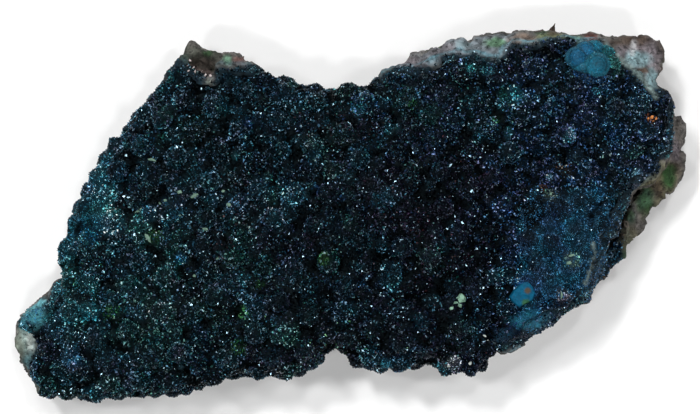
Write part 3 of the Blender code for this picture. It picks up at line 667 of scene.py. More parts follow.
def thinned(piece, spare, share):
    """Joins faces round the spare points, where little is seen, until this share of them is left."""
    group = piece.vertex_groups.new(name="spare")
    group.add(np.flatnonzero(spare).tolist(), 1.0, "REPLACE")
    ratio = 1 - (1 - share) * float(spare.mean())
    modified(piece, "DECIMATE", vertex_group=group.name, ratio=ratio)
    piece.vertex_groups.clear()
    set_points(piece.data, in_box(points_of(piece.data)))


def fine_copy(node, voxel):
    """A remeshed copy of a CAD node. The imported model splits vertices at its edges, so they are welded."""
    shape = bmesh.new()
    shape.from_mesh(cad_mesh(node))
    bmesh.ops.remove_doubles(shape, verts=shape.verts, dist=WELD)
    copy = added(f"{node}_fine", mesh_from(shape, f"{node}_fine"))
    modified(copy, "REMESH", mode="VOXEL", voxel_size=voxel * MM)
    copy.data.materials.clear()
    return copy


def between(values, low, high):
    """0 up to low, 1 from high on, and even in between."""
    return np.clip((values - low) / (high - low), 0, 1)


def waves(points, size, seed):
    """Smooth noise from -1 to 1 with the given wavelength."""
    shifted = points / size + seed * SEED_STEP
    return np.array([noise.noise(Vector(p)) for p in shifted])


def smoothed(points, ends, rounds):
    """Each point moved to between itself and the mean of its neighbours, again and again."""
    count = np.bincount(ends.ravel(), minlength=len(points))
    start, end = np.concatenate([ends, ends[:, ::-1]]).T
    for _ in range(rounds):
        mean = [np.bincount(start, column, len(points)) / count for column in points[end].T]
        points = (points + np.column_stack(mean)) / 2
    return points


def rounded(points, ends, rounds):
    """Smoothing that doesn't shrink: each round draws the points together, then pushes them apart again."""
    for _ in range(rounds):
        drawn = smoothed(points, ends, 1)
        points = drawn - PUSH_APART * (smoothed(drawn, ends, 1) - drawn)
    return points


def tree_of_points(places):
    tree = kdtree.KDTree(len(places))
    for i, place in enumerate(places):
        tree.insert(place, i)
    tree.balance()
    return tree


def tree_of_faces(mesh):
    """A search tree over a mesh's faces, in millimetres."""
    faces = [list(face.vertices) for face in mesh.polygons]
    return bvhtree.BVHTree.FromPolygons([Vector(p) for p in points_of(mesh)], faces)


def nearest_of(points, places):
    """The number of the place that each point is nearest to."""
    tree = tree_of_points(places)
    return np.array([tree.find(point)[1] for point in points])


def gap_to(tree, points, most):
    """How far each point is from the tree's surface, but never more than most."""
    return np.array([tree.find_nearest(Vector(p), most)[3] or most for p in points])


def rays(tree, points, directions, reach):
    """The place, normal, face and distance that each point meets in its direction, or None for all four."""
    return [tree.ray_cast(Vector(p), Vector(way), reach) for p, way in zip(points, directions)]


def looks_at(tree, points, directions, reach):
    """Whether each point meets the tree's surface within reach."""
    return np.array([hit[0] is not None for hit in rays(tree, points, directions, reach)])


def thickness(tree, points, normals):
    """How thick the solid is under each point."""
    hits = rays(tree, points - SKIN_DEPTH * normals, -normals, THICKEST)
    return np.array([THICKEST if hit[0] is None else hit[3] for hit in hits])


def height_at(trees, x, y):
    """How high the topmost of the surfaces lies at x, y, and its normal."""
    hits = [tree.ray_cast(Vector((x, y, ABOVE_ALL)), Vector((0, 0, -1))) for tree in trees]
    top = max((hit for hit in hits if hit[0] is not None), key=lambda hit: hit[0].z)
    return top[0].z, top[1]


def in_box(points):
    """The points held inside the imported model's box."""
    low, high = (np.array(corner) / MM for corner in cad_box)
    return np.clip(points, low, high)


def chipped(points, size, slope):
    """The relief of flat chips: round each of many random seeds the surface slopes its own way."""
    low, high = points.min(axis=0), points.max(axis=0)
    count = int(np.prod((high - low) / size))
    seeds = RANDOM.uniform(low, high, (count, 3))
    slopes = RANDOM.normal(scale=slope, size=(count, 3))
    own = nearest_of(points, seeds)
    rise = ((points - seeds[own]) * slopes[own]).sum(axis=1)
    return np.clip(rise, -size * slope, size * slope)


def balls_from_tops(points, level, normals, usable):
    """Centres and radii of balls, the highest tops first, so that the balls lie where the solid has them."""
    height = ((points - level) * normals).sum(axis=1)
    sizes = np.interp(height, *zip(BALL_LOW, BALL_HIGH))
    centres, radii = np.empty((0, 3)), np.empty(0)
    for i in np.argsort(-height, kind="stable"):
        near = BALL_SPACING * (sizes[i] + radii)
        if usable[i] and not (((centres - points[i]) ** 2).sum(axis=1) < near**2).any():
            centres = np.vstack([centres, points[i]])
            radii = np.append(radii, sizes[i])
    return centres, radii


def domes(points, centres, radii):
    """At each point: how deep the skin lies under its ball's top, how near that top it is, and which ball."""
    tree = tree_of_points(centres)
    depth, topness = np.zeros((2, len(points)))
    owner = np.zeros(len(points), int)
    for i, point in enumerate(points):
        near = tree.find_n(point, BALLS_TRIED)
        raised, own = 0.0, near[0][1]
        for _, ball, distance in near:
            if distance < radii[ball]:
                dome = math.sqrt(radii[ball] ** 2 - distance**2) - BALL_SINK * radii[ball]
                if dome > raised:
                    raised, own = dome, ball
        full = (1 - BALL_SINK) * radii[own]
        depth[i] = full - raised
        topness[i] = raised / full
        owner[i] = own
    return depth, topness, owner


def hump(points, x, y, radius_x, radius_y):
    """1 at x, y and smoothly less away from it."""
    return np.exp(-(((points[:, 0] - x) / radius_x) ** 2 + ((points[:, 1] - y) / radius_y) ** 2))


def patch(points, x, y, radius_x, radius_y=None):
    """1 in the middle of a patch and 0 outside it, with a ragged edge."""
    radius_y = radius_y or radius_x
    off = np.hypot((points[:, 0] - x) / radius_x, (points[:, 1] - y) / radius_y)
    near = off < PATCH_REACH
    ragged = PATCH_RAGGED * waves(points[near], 0.35 * min(radius_x, radius_y) + 0.5, 21)
    share = np.zeros(len(points))
    share[near] = np.clip((1.0 - off[near] + ragged) / PATCH_EDGE, 0, 1)
    return share


def stroke(points, line, width):
    """1 along a line drawn in plan and 0 away from it, with a ragged edge."""
    off = np.full(len(points), np.inf)
    for start, end in zip(line, line[1:]):
        along = np.array(end) - start
        share = np.clip((points[:, :2] - start) @ along / (along @ along), 0, 1)
        off = np.minimum(off, np.linalg.norm(points[:, :2] - start - share[:, None] * along, axis=1))
    near = off < LINE_REACH * width
    strength = np.zeros(len(points))
    ragged = LINE_RAGGED * waves(points[near], 0.9, 22)
    strength[near] = np.clip(LINE_END - off[near] / width + ragged, 0, 1)
    return strength


def inside(points, outline, edge):
    """1 inside a convex outline drawn anticlockwise and 0 outside it, with an edge of the given width."""
    least = np.full(len(points), np.inf)
    for start, end in zip(outline, outline[1:] + outline[:1]):
        along = np.array(end) - start
        along /= np.linalg.norm(along)
        off = points[:, :2] - start
        least = np.minimum(least, along[0] * off[:, 1] - along[1] * off[:, 0])
    return np.clip(least / edge + 0.5, 0, 1)


def mixed(tints, colour, share):
    """The tints with this share of another colour."""
    return tints + (np.array(colour) - tints) * share[:, None]


def picked(share):
    """True for points picked at random, each with its own chance."""
    return RANDOM.random(len(share)) < share


def scattered(count):
    """Normally distributed random numbers with mean 0 and spread 1."""
    return RANDOM.normal(0.0, 1.0, count)


def area_colours(points):
    """For each point one of its area's colours, picked at random by their shares."""
    tints = np.tile(NAVY, (len(points), 1))
    for *place, colour, share in CRUST_AREAS:
        tints[picked(share * np.clip(1.25 * hump(points, *place), 0, 1))] = colour
    tints[picked(FLANK_SHARE * inside(points, SMOOTH_FLANK, SMOOTH_EDGE))] = FLANK_BLUE
    return tints


def evenness(points):
    """1 where the druse is so fine that it looks smooth, and 0 elsewhere."""
    even = inside(points, SMOOTH_FLANK, SMOOTH_EDGE)
    for *place, share in SMOOTH_PATCHES:
        even = np.maximum(even, share * patch(points, *place))
    return even


def hues(points):
    """Factors on red, green and blue, which make patches of the druse redder, greener or bluer."""
    warm = sum(waves(points, size, 6) for size in HUE_SIZES)
    green = GREEN_SHIFT * sum(waves(points, size, 7) for size in HUE_SIZES)
    shade = WARM_SHADE * np.maximum(warm, 0)
    shifts = np.column_stack([HUE_SHIFT * np.minimum(warm, 0), green - shade, -shade])
    return np.exp(shifts) * OVERALL


def ball_looks(centres):
    """Each ball's own colour, and how strong the painted sheen on its top is."""
    spread = BALL_SPREAD * (1 - SMOOTH_EVENNESS * evenness(centres))
    tints = area_colours(centres) * np.exp(spread * scattered(len(centres)))[:, None]
    return tints, RANDOM.random(len(centres)) ** SHEEN_POWER


def painted_sheen_at(points):
    """The colour of the painted sheen on the balls' tops, which has more red in it towards the right."""
    return mixed(np.array(SHEEN_LEFT), SHEEN_RIGHT, between(points[:, 0], *SHEEN_CHANGE))


def painted_crease_shade(points, topness):
    """The painted shade in the creases between the balls: how dark the skin gets there."""
    lifted = topness + SMOOTH_CREASES * evenness(points)
    return PAINTED_CREASE_SHADE + (1 - PAINTED_CREASE_SHADE) * between(lifted, *CREASE) ** CREASE_POWER


def bed_tints(points, topness, ball, looks):
    """The colour of the skin between and under the crystals, with painted sheen on the balls' tops and
    painted shade in the creases.
    """
    tints, sheen = looks
    sheen_share = TOP_SHEEN * sheen[ball] * between(topness, *SHEEN_TOP)
    own = BED_TINT * mixed(tints[ball], painted_sheen_at(points), sheen_share)
    for *place, colour, share in CRUST_SPOTS:
        own = mixed(own, BED_SPOT * np.array(colour), share * patch(points, *place))
    own *= hues(points) * painted_crease_shade(points, topness)[:, None]
    return with_films(points, own)


def crust_tints(points, topness, ball, looks, rock_tree):
    """The crystals' colours: part of a ball's crystals take its own colour, with painted sheen on the tops,
    painted highlight round the edges and painted shade in the creases.
    """
    of_balls, sheen = looks
    own = RANDOM.random(len(points)) < BALL_SHARE
    tints = np.where(own[:, None], of_balls[ball], area_colours(points))
    sheened = picked(TOP_SHEEN * sheen[ball] * between(topness, *SHEEN_TOP))
    tints[sheened] = (1 - SHEEN_MIX) * tints[sheened] + SHEEN_MIX * painted_sheen_at(points[sheened])
    spotted = np.zeros(len(points), bool)
    for *place, colour, share in CRUST_SPOTS:
        take = picked(share * patch(points, *place))
        tints[take] = colour
        spotted |= take
    to_rock = gap_to(rock_tree, points, RIM_REACH)
    edge = np.clip((RIM_REACH - to_rock) / RIM_EDGE, 0, 1) * (points[:, 2] > RIM_LOWEST)
    pale_rim = picked(RIM_SHARE * edge)
    tints[pale_rim] = RIM_PALE
    highlight = 1 + BALL_HIGHLIGHT_GAIN * np.exp(-(((topness - BALL_HIGHLIGHT[0]) / BALL_HIGHLIGHT[1]) ** 2))
    mottled = np.exp(MOTTLE * (waves(points, 4.5, 4) + 0.5 * waves(points, 1.3, 5)))
    spread = TINT_SPREAD * np.where(sheened | pale_rim, EVEN_SPREAD, np.where(spotted, SPOT_SPREAD, 1.0))
    spread *= 1 - SMOOTH_EVENNESS * evenness(points)
    single = TINT_GAIN * np.minimum(np.exp(scattered(len(points)) * spread), TINT_MOST)
    # painted highlight round the balls' edges and painted shade in their creases, times random tone
    tints = tints * (highlight * painted_crease_shade(points, topness) * mottled * single)[:, None]
    pale = PALENESS * np.clip(single / TINT_MOST, 0, 1)
    tints = mixed(tints, tints.mean(axis=1)[:, None], pale) * hues(points)
    return with_film_lines(points, tints)


def patched(points, tints, table, upper=1.0):
    """The tints with a table's patches over them, where upper lets them show."""
    for *place, colour, strength in table:
        tints = mixed(tints, colour, strength * upper * patch(points, *place))
    return tints


def with_films(points, tints, upper=1.0):
    """The tints with the smooth films and the pale lines over them."""
    return with_film_lines(points, patched(points, tints, FILMS, upper))


def with_film_lines(points, tints):
    """The tints with the pale lines over them."""
    for line, width, colour, strength in FILM_LINES:
        tints = mixed(tints, colour, strength * stroke(points, line, width))
    return tints


def fringe_of(points, normals, gap):
    """How far over the rock the druse reaches at each point, less its distance from the crust."""
    reach = FRINGE * (FRINGE_MEAN + FRINGE_RAGGED * waves(points, 2.2, 38))
    for x, y, radius, further in FRINGE_REACHES:
        reach += further * hump(points, x, y, radius, radius)
    return np.where(normals[:, 2] > 0, reach - gap, -FRINGE)


def rock_tints(points, normals, gap):
    """The rock's colours: grey with brown and green stains all over, and the areas seen from above."""
    tints = np.tile(ROCK_GREY, (len(points), 1))
    brown = np.clip(1.6 * waves(points, 7.0, 33) + 0.9 * waves(points, 2.4, 34), 0, 0.8)
    green = np.clip(2.4 * waves(points, 5.0, 35) + waves(points, 1.5, 36) - 0.9, 0, 0.7)
    tints = mixed(mixed(tints, ROCK_BROWN, brown), MALACHITE, green)
    upper = between(normals[:, 2], *STAINED_SLOPES)
    tints = patched(points, tints, ROCK_AREAS, upper)
    mottled = 1 + 0.5 * waves(points, 1.9, 31) + 0.5 * waves(points, 0.9, 32)
    tints *= np.clip(mottled, 0.4, 1.8)[:, None]
    fringe = fringe_of(points, normals, gap)
    rim = np.exp(-(((fringe + PALE_LINE) / PALE_LINE) ** 2)) * (0.7 + 0.5 * waves(points, 2.0, 37)) * upper
    left = 0.4 + 0.6 * between(points[:, 0], *RIM_LEFT)
    right = 1.3 - 1.1 * between(points[:, 0], *RIM_RIGHT)
    tints = mixed(tints, RIM_TEAL, np.clip(rim * (right * left), 0, 1))
    for line, width, colour, strength, _ in ROCK_LINES:
        tints = mixed(tints, colour, strength * upper * stroke(points, line, width))
    tints = mixed(tints, UNDER_FRINGE, np.clip(fringe / 0.2, 0, 1))
    return with_films(points, tints, between(normals[:, 2], *FILMED_SLOPES))


def paint(mesh, tints):
    """Writes one colour for each vertex, which the material's nodes read."""
    layer = mesh.color_attributes.new("tint", "FLOAT_COLOR", "POINT")
    colours = np.column_stack([np.clip(tints, 0, 1), np.ones(len(tints))])
    layer.data.foreach_set("color", colours.astype(np.float32).ravel())


def fine_crust(rock_tree, crust_tree):
    """The crust with round balls, what its crystals need to know of each vertex, and the balls' centres."""
    crust = fine_copy("cornetite_crust", CRUST_VOXEL)
    mesh = crust.data
    ends = rows_of(mesh.edges, "vertices", 2, np.int32)
    points = rounded(points_of(mesh), ends, CRUST_SMOOTHING)
    set_points(mesh, points)
    normals = normals_of(mesh)
    shown = ~looks_at(rock_tree, points, normals, UNDER_CRUST)
    level = smoothed(points, ends, LEVEL_SMOOTHING)
    centres, radii = balls_from_tops(points, level, normals, shown)
    depth, topness, owner = domes(points, centres, BALL_SWELL * radii)
    relief = BALL_RELIEF * (1 - SMOOTH_RELIEF_CUT * evenness(points))
    sink = np.minimum(relief * depth - TOP_LIFT, THIN_SHARE * thickness(crust_tree, points, normals))
    sink = np.minimum(sink, EDGE_SINK + 2.0 * np.clip(normals[:, 2] - 0.3, 0, 1))
    set_points(mesh, in_box(points - normals * (sink * shown)[:, None]))
    mesh.shade_smooth()
    return crust, {"shown": shown, "topness": topness, "owner": owner}, centres


def sown(mesh, quads, count):
    """Points spread evenly over the quads, count on each: corners, the corners' shares, place and normal."""
    shift = RANDOM.random((2, len(quads)))
    shares = []
    for turn in range(count):
        u, v = (shift + turn * np.array(SOWING_STEP)) % 1
        shares.append(np.stack([(1 - u) * (1 - v), u * (1 - v), u * v, (1 - u) * v], axis=1))
    corners, shares = np.tile(quads, (count, 1)), np.vstack(shares)
    at = (points_of(mesh)[corners] * shares[:, :, None]).sum(axis=1)
    out = (normals_of(mesh)[corners] * shares[:, :, None]).sum(axis=1)
    return corners, shares, at, out / np.linalg.norm(out, axis=1)[:, None]


def crystal_radii(topness, at, coarse=1.0):
    """Random radii, finer near the balls' tops and on smooth places."""
    low, high = CRYSTAL_RADIUS
    radii = coarse * (low * (high / low) ** RANDOM.random(len(at)))
    return radii * (1 - TOP_FINENESS * topness) * (1 - SMOOTH_FINENESS * evenness(at))


def crust_spots(crust, skin):
    """Where the crust's crystals stand: place, normal, topness, ball and crystal radius."""
    quads = quads_of(crust.data)
    quads = quads[skin["shown"][quads].all(axis=1)]
    upper = normals_of(crust.data)[quads][:, :, 2].mean(axis=1) > 0.05
    sides = [(quads[upper], CRYSTALS_PER_FACE, 1.0), (quads[~upper], CRYSTALS_BELOW, COARSER)]
    found = []
    for faces, count, coarse in sides:
        corners, shares, at, out = sown(crust.data, faces, count)
        topness = (skin["topness"][corners] * shares).sum(axis=1)
        ball = skin["owner"][corners[np.arange(len(corners)), shares.argmax(axis=1)]]
        found.append((at, out, topness, ball, crystal_radii(topness, at, coarse)))
    return [np.concatenate(column) for column in zip(*found)]


def fringe_spots(rock, fringe, ball_centres, crust_tree):
    """The same for the crystals on the open rock beside the crust, which get fewer away from it."""
    quads = quads_of(rock.data)
    kept = picked(np.clip(fringe[quads].mean(axis=1) / 0.35, 0, 1))
    _, _, at, out = sown(rock.data, quads[kept], FRINGE_CRYSTALS)
    clear = ~looks_at(crust_tree, at, out, FRINGE_CLEAR)
    at, out = at[clear], out[clear]
    topness = np.full(len(at), FRINGE_TOPNESS)
    return at, out, topness, nearest_of(at, ball_centres), crystal_radii(topness, at)


def crystal_corners(shape, centres, axes, radii, heights):
    """The corners and triangles of one crystal at each centre, and the share of tip in each corner."""
    base, top, triangles = shape
    side = np.cross(axes, RANDOM.normal(size=axes.shape))
    side /= np.linalg.norm(side, axis=1)[:, None]
    other = np.cross(axes, side)
    stretch = RANDOM.uniform(*CRYSTAL_STRETCH, len(centres))[:, None]
    skew = RANDOM.uniform(-CRYSTAL_SKEW, CRYSTAL_SKEW, (2, len(centres), 1))
    lean = (skew[0] * side + skew[1] * other) * radii[:, None]
    corners = []
    for turn, reach in base + top:
        across = math.cos(2 * math.pi * turn) * reach * side * stretch
        along = math.sin(2 * math.pi * turn) * reach * other
        corners.append(centres + (across + along) * radii[:, None])
        if len(corners) > len(base):
            corners[-1] = corners[-1] + axes * heights[:, None] + lean
        else:
            corners[-1] = corners[-1] - axes * (CRYSTAL_SINK * radii)[:, None]
    tip = np.array([0.0] * len(base) + [1.0] * len(top))
    starts = np.arange(len(centres))[:, None, None] * len(corners)
    faces = (np.array(triangles)[None] + starts).reshape(-1, 3)
    return np.stack(corners, axis=1).reshape(-1, 3), faces, np.tile(tip, len(centres))


def druse(name, centres, normals, sizes, tints):
    """One mesh of many crystals grown out of the skin, each leaning its own way."""
    count = len(centres)
    axes = normals + CRYSTAL_LEAN * RANDOM.normal(size=(count, 3))
    axes /= np.linalg.norm(axes, axis=1)[:, None]
    heights = sizes * RANDOM.uniform(*CRYSTAL_HEIGHT, count)
    draw = RANDOM.random(count)
    corners, faces, colours = [], [], []
    start, low = 0, 0.0
    for shape, share in SHAPE_SHARES:
        mine = (draw >= low) & (draw < low + share)
        low += share
        made, triangles, tip = crystal_corners(shape, centres[mine], axes[mine], sizes[mine], heights[mine])
        corners.append(made)
        faces.append(triangles + start)
        start += len(made)
        # painted light and shade along each crystal, lighter at the tip and darker at the base
        depth = BASE_PAINTED_SHADE + (TIP_PAINTED_LIGHT - BASE_PAINTED_SHADE) * tip
        colours.append(np.repeat(tints[mine], len(made) // mine.sum(), axis=0) * depth[:, None])
    mesh = mesh_of(name, in_box(np.vstack(corners)), np.vstack(faces).tolist())
    paint(mesh, np.vstack(colours))
    return added(name, mesh)


def fine_rock(crust_tree):
    """The rock's broken faces with fine relief. Under the crust's edge it swells to meet the crust."""
    rock = fine_copy("host_rock", ROCK_VOXEL)
    mesh = rock.data
    points = points_of(mesh)
    normals = normals_of(mesh)
    gap = gap_to(crust_tree, points, SEAM_REACH)
    swell = SEAM_SWELL * np.clip(1.6 * (1 - gap / SEAM_REACH), 0, 1)
    ridges = 0.3 * (0.35 - np.abs(waves(points, 2.6, 11))) + 0.16 * waves(points, 1.0, 12)
    ridges += sum(chipped(points, size, slope) for size, slope in CHIPS) * between(gap, 0.7, 1.5)
    ridges += 0.08 * waves(points, 0.55, 16)
    beds = (points[:, 2] / BED_HEIGHT + 0.5 * waves(points, 6.0, 13)) % 1
    ledges = BED_RELIEF * (beds - 0.5) * np.clip(1 - np.abs(normals[:, 2]), 0, 1)
    low = np.clip(points[:, 2] / FLAT_FOOT, 0, 1)
    points += normals * ((swell + ridges + ledges) * low)[:, None]
    upper = between(normals[:, 2], *CARVED_SLOPES)
    for *place, depth in POCKETS:
        points[:, 2] -= depth * upper * patch(points, *place)
    for line, width, _, _, height in ROCK_LINES:
        points[:, 2] += height * upper * stroke(points, line, width)
    x, y, radius, push = CORNER
    points[:, 1] += push * hump(points, x, y, radius, radius)
    set_points(mesh, in_box(points))
    mesh.shade_smooth()
    paint(mesh, rock_tints(points, normals, gap))
    spare = looks_at(crust_tree, points, normals, SEAM_REACH) | (normals[:, 2] < BACK_SLOPE)
    return rock, fringe_of(points, normals, gap), spare


def stones(name, places, trees, colour, look, sunk):
    """A piece of small angular grains, each the hull of random points in a flattened ellipsoid."""
    shape = bmesh.new()
    for x, y, length, width, height, turn in places:
        z, up = height_at(trees, x, y)
        middle = Vector((x, y, z + STONE_LIFT + height * (0.5 - sunk)))
        lie = up.to_track_quat("Z", "X")
        spin = Matrix.Rotation(math.radians(turn), 3, "Z")
        corners = []
        for _ in range(STONE_POINTS):
            out = Vector(RANDOM.normal(size=3)).normalized()
            flat = spin @ Vector((out.x * length / 2, out.y * width / 2, 0))
            tall = lie @ Vector((0, 0, out.z * height / 2))
            tilt = (lie @ flat) * STONE_TILT + flat * (1 - STONE_TILT)
            corners.append(shape.verts.new(middle + tilt + tall))
        bmesh.ops.convex_hull(shape, input=corners)
    loose = [vert for vert in shape.verts if not vert.link_faces]
    bmesh.ops.delete(shape, geom=loose, context="VERTS")
    bmesh.ops.triangulate(shape, faces=shape.faces)
    bmesh.ops.recalc_face_normals(shape, faces=shape.faces)
    mesh = mesh_from(shape, name)
    points = in_box(points_of(mesh) * MM)
    set_points(mesh, points)
    paint(mesh, np.array(colour) * np.exp(0.4 * waves(points, 0.7, 41))[:, None])
    wear(added(name, mesh), look)


def ringed(name, points, count):
    """A closed mesh over points that lie in rings of this count."""
    last = len(points) - count
    sides = [(i, (i + 1) % count) for i in range(count)]
    faces = [
        (low + i, low + j, low + count + j, low + count + i)
        for low in range(0, last, count) for i, j in sides
    ]
    faces += [tuple(range(count))[::-1], tuple(range(last, len(points)))]
    return mesh_of(name, points, faces)


def chip(trees, look):
    """The blue chip: a low lump with its own outline and spots."""
    corners = np.array(BLUE_CHIP)
    middle = corners.mean(axis=0)
    turns = np.linspace(0, len(corners), CHIP_ROUND, endpoint=False)
    closed = np.vstack([corners, corners[:1]])
    edge = np.column_stack([np.interp(turns, range(len(closed)), column) for column in closed.T])
    z, _ = height_at(trees, *middle)
    rows = CHIP_SIDE + [(share, 1.0) for share in np.linspace(*CHIP_TOP, CHIP_RINGS)]
    points = np.vstack([
        np.column_stack([middle + (edge - middle) * share, np.full(CHIP_ROUND, z + CHIP_HEIGHT * rise)])
        for share, rise in rows
    ])
    out = np.hypot(*(points[:, :2] - middle).T)
    points[:, 2] += (0.16 * waves(points, 0.8, 42) + 0.06 * waves(points, 0.3, 43)) * (points[:, 2] > z)
    points[:, 2] -= CHIP_FALL * out
    points = in_box(points)
    mesh = ringed("blue_chip", points, CHIP_ROUND)
    tints = np.array(CHIP_BLUE) * np.exp(0.3 * waves(points, 0.6, 44))[:, None]
    paint(mesh, patched(points, tints, CHIP_SPOTS))
    mesh.shade_smooth()
    wear(added("blue_chip", mesh), look)


def sliver(look):
    """A thin sliver of rock that stands out over the back shelf's edge."""
    start, tip = np.array(SLIVER_START), np.array(SLIVER_TIP)
    turns = 2 * math.pi * np.arange(SLIVER_ROUND) / SLIVER_ROUND
    points = []
    for step in np.linspace(0, 1, SLIVER_RINGS):
        middle = start + (tip - start) * step
        middle[0] -= SLIVER_BEND * math.sin(math.pi * step)
        radius = SLIVER_RADIUS * (1 - step) ** 1.35 + 0.03
        highlight = np.column_stack([np.cos(turns) * radius, 0.3 * radius * np.sin(turns), np.sin(turns) * radius])
        points.append(middle + highlight * (1 + 0.35 * waves(middle + 3 * highlight, 0.7, 51))[:, None])
    points = in_box(np.vstack(points))
    mesh = ringed("rock_sliver", points, SLIVER_ROUND)
    paint(mesh, np.array(ROCK_BROWN) * (1 + 0.5 * waves(points, 0.5, 52))[:, None])
    wear(added("rock_sliver", mesh), look)


def fine_nodules(trees):
    """The smooth blue balls, made round again and dimpled, with the colour and coarseness at each point."""
    _, _, radii, _, colours, coarse = (np.array(column) for column in zip(*NODULES))
    shape = bmesh.new()
    centres = []
    for x, y, radius, lower, _, _ in NODULES:
        top, _ = height_at(trees, x, y)
        centres.append((x, y, top - lower - radius))
        place = Matrix.Translation(centres[-1])
        bmesh.ops.create_icosphere(shape, subdivisions=4, radius=radius, matrix=place)
    mesh = mesh_from(shape, "chrysocolla_nodules_fine")
    set_points(mesh, points_of(mesh) * MM)
    nodules = added(mesh.name, mesh)
    modified(nodules, "REMESH", mode="VOXEL", voxel_size=NODULE_VOXEL * MM)
    mesh = nodules.data
    points = points_of(mesh)
    centres = np.array(centres)
    outside = np.linalg.norm(points[:, None] - centres[None], axis=2) - radii
    own = outside.argmin(axis=1)
    aside = np.linalg.norm((points - centres[own])[:, :2], axis=1) / radii[own]
    coarseness = coarse[own]
    edge = NODULE_EDGE_SHARE * between(aside, *NODULE_EDGE_PLACE) * (coarseness < SMOOTH_BALL)
    tints = mixed(colours[own], NODULE_EDGE, edge)
    rings = NODULE_RING_TINT * np.sin(NODULE_RINGS * aside)
    tints *= (1 + 0.5 * waves(points, 0.9, 45) + rings)[:, None]
    # painted shade where the balls meet
    to_next = np.sort(outside, axis=1)[:, 1]
    tints *= np.clip(0.4 + to_next / NODULE_CREASE_SHADE, 0.4, 1)[:, None]
    bumps = 0.05 * waves(points, 0.55, 14) + 0.03 * waves(points, 0.28, 15)
    points += normals_of(mesh) * bumps[:, None]
    set_points(mesh, in_box(points))
    mesh.shade_smooth()
    paint(mesh, tints)
    return nodules, tints, coarseness


def nodule_fur(nodules, tints, coarseness, crust):
    """The very fine crystals on the smooth balls, where they stand clear of the crust."""
    mesh = nodules.data
    quads = quads_of(mesh)
    centres = points_of(mesh)[quads].mean(axis=1)
    clear = ~looks_at(tree_of_faces(crust.data), centres, np.tile((0, 0, 1), (len(quads), 1)), ABOVE_ALL)
    clear &= normals_of(mesh)[quads].mean(axis=1)[:, 2] > -0.3
    corners, shares, at, out = sown(mesh, quads[clear], FUR_PER_FACE)
    own = (tints[corners] * shares[:, :, None]).sum(axis=1)
    coarse = coarseness[corners[:, 0]]
    own *= np.exp(FUR_SPREAD * coarse * scattered(len(at)))[:, None]
    return druse("druse_nodules", at, out, coarse * RANDOM.uniform(*FUR_RADIUS, len(at)), own)


def give(tree, target, **values):
    """Sets a node's inputs and properties. An input that is given another node's output is linked to it."""
    for name, value in values.items():
        label = name.replace("_", " ")
        if isinstance(value, bpy.types.NodeSocket):
            tree.links.new(value, target.inputs[label])
        elif label in target.inputs:
            target.inputs[label].default_value = value
        else:
            setattr(target, name, value)


def node(tree, kind, **values):
    made = tree.nodes.new(kind)
    give(tree, made, **values)
    return made


def material(name, **values):
    """A Principled material with these values on its own sockets, and its tree."""
    made = bpy.data.materials.new(name)
    made.use_nodes = True
    shader = made.node_tree.nodes["Principled BSDF"]
    give(made.node_tree, shader, **values)
    return made, made.node_tree, shader


def texture(tree, kind, scale, output="Fac", **values):
    """A procedural texture in the row frame, with its scale in repeats a metre."""
    place = node(tree, "ShaderNodeTexCoord").outputs["Object"]
    return node(tree, kind, Vector=place, Scale=scale, **values).outputs[output]


def ramp(tree, source, low, high, start, end):
    """A number that runs from start to end as source goes from low to high."""
    values = {"From_Min": low, "From_Max": high, "To_Min": start, "To_Max": end}
    return node(tree, "ShaderNodeMapRange", Value=source, **values).outputs["Result"]


def product(tree, first, second):
    made = node(tree, "ShaderNodeMath", operation="MULTIPLY")
    tree.links.new(first, made.inputs[0])
    tree.links.new(second, made.inputs[1])
    return made.outputs[0]


def dressed(tree, shader, tone, roughness, height, strength, distance):
    """Gives the shader the mesh's own tint, made lighter and darker by tone, its roughness and its relief."""
    tint = node(tree, "ShaderNodeVertexColor", layer_name="tint").outputs["Color"]
    colour = node(tree, "ShaderNodeVectorMath", operation="SCALE", Vector=tint, Scale=tone).outputs["Vector"]
    bump = node(tree, "ShaderNodeBump", Strength=strength, Distance=distance * MM, Height=height)
    give(tree, shader, Base_Color=colour, Roughness=roughness, Normal=bump.outputs["Normal"])


def cornetite(name, gloss_low, gloss_high, shine=0.5):
    """The crystals' look, with the given least and greatest roughness."""
    made, tree, shader = material(
        name, IOR=1.42, Specular_IOR_Level=shine, Specular_Tint=(0.55, 0.85, 1.0, 1)
    )
    fine = texture(tree, "ShaderNodeTexNoise", 3200.0, Detail=3.0)
    tone = ramp(tree, fine, 0.3, 0.7, 0.6, 1.5)
    dull = texture(tree, "ShaderNodeTexNoise", 2600.0, Detail=1.0)
    dressed(tree, shader, tone, ramp(tree, dull, 0.4, 0.66, gloss_low, gloss_high), fine, 0.2, 0.04)
    return made


def host_rock():
    """Grains, some lighter and some darker, clouds of tone, and small dark spots."""
    made, tree, shader = material("rock_look", IOR=1.5, Specular_IOR_Level=0.2)
    cloud = texture(tree, "ShaderNodeTexNoise", 1100.0, Detail=7.0, Roughness=0.7)
    grains = texture(tree, "ShaderNodeTexVoronoi", 2600.0, "Color")
    each = node(tree, "ShaderNodeSeparateXYZ", Vector=grains).outputs["X"]
    dark_spots = texture(tree, "ShaderNodeTexNoise", 2100.0, Detail=2.0)
    tone = product(tree, ramp(tree, cloud, 0.32, 0.68, 0.72, 1.75), ramp(tree, each, 0.0, 1.0, 0.65, 1.4))
    tone = product(tree, tone, ramp(tree, dark_spots, 0.32, 0.45, 0.3, 1.0))
    height = product(tree, cloud, ramp(tree, each, 0.0, 1.0, 0.8, 1.2))
    dressed(tree, shader, tone, ramp(tree, cloud, 0.3, 0.7, 0.95, 0.6), height, 0.8, 0.4)
    return made


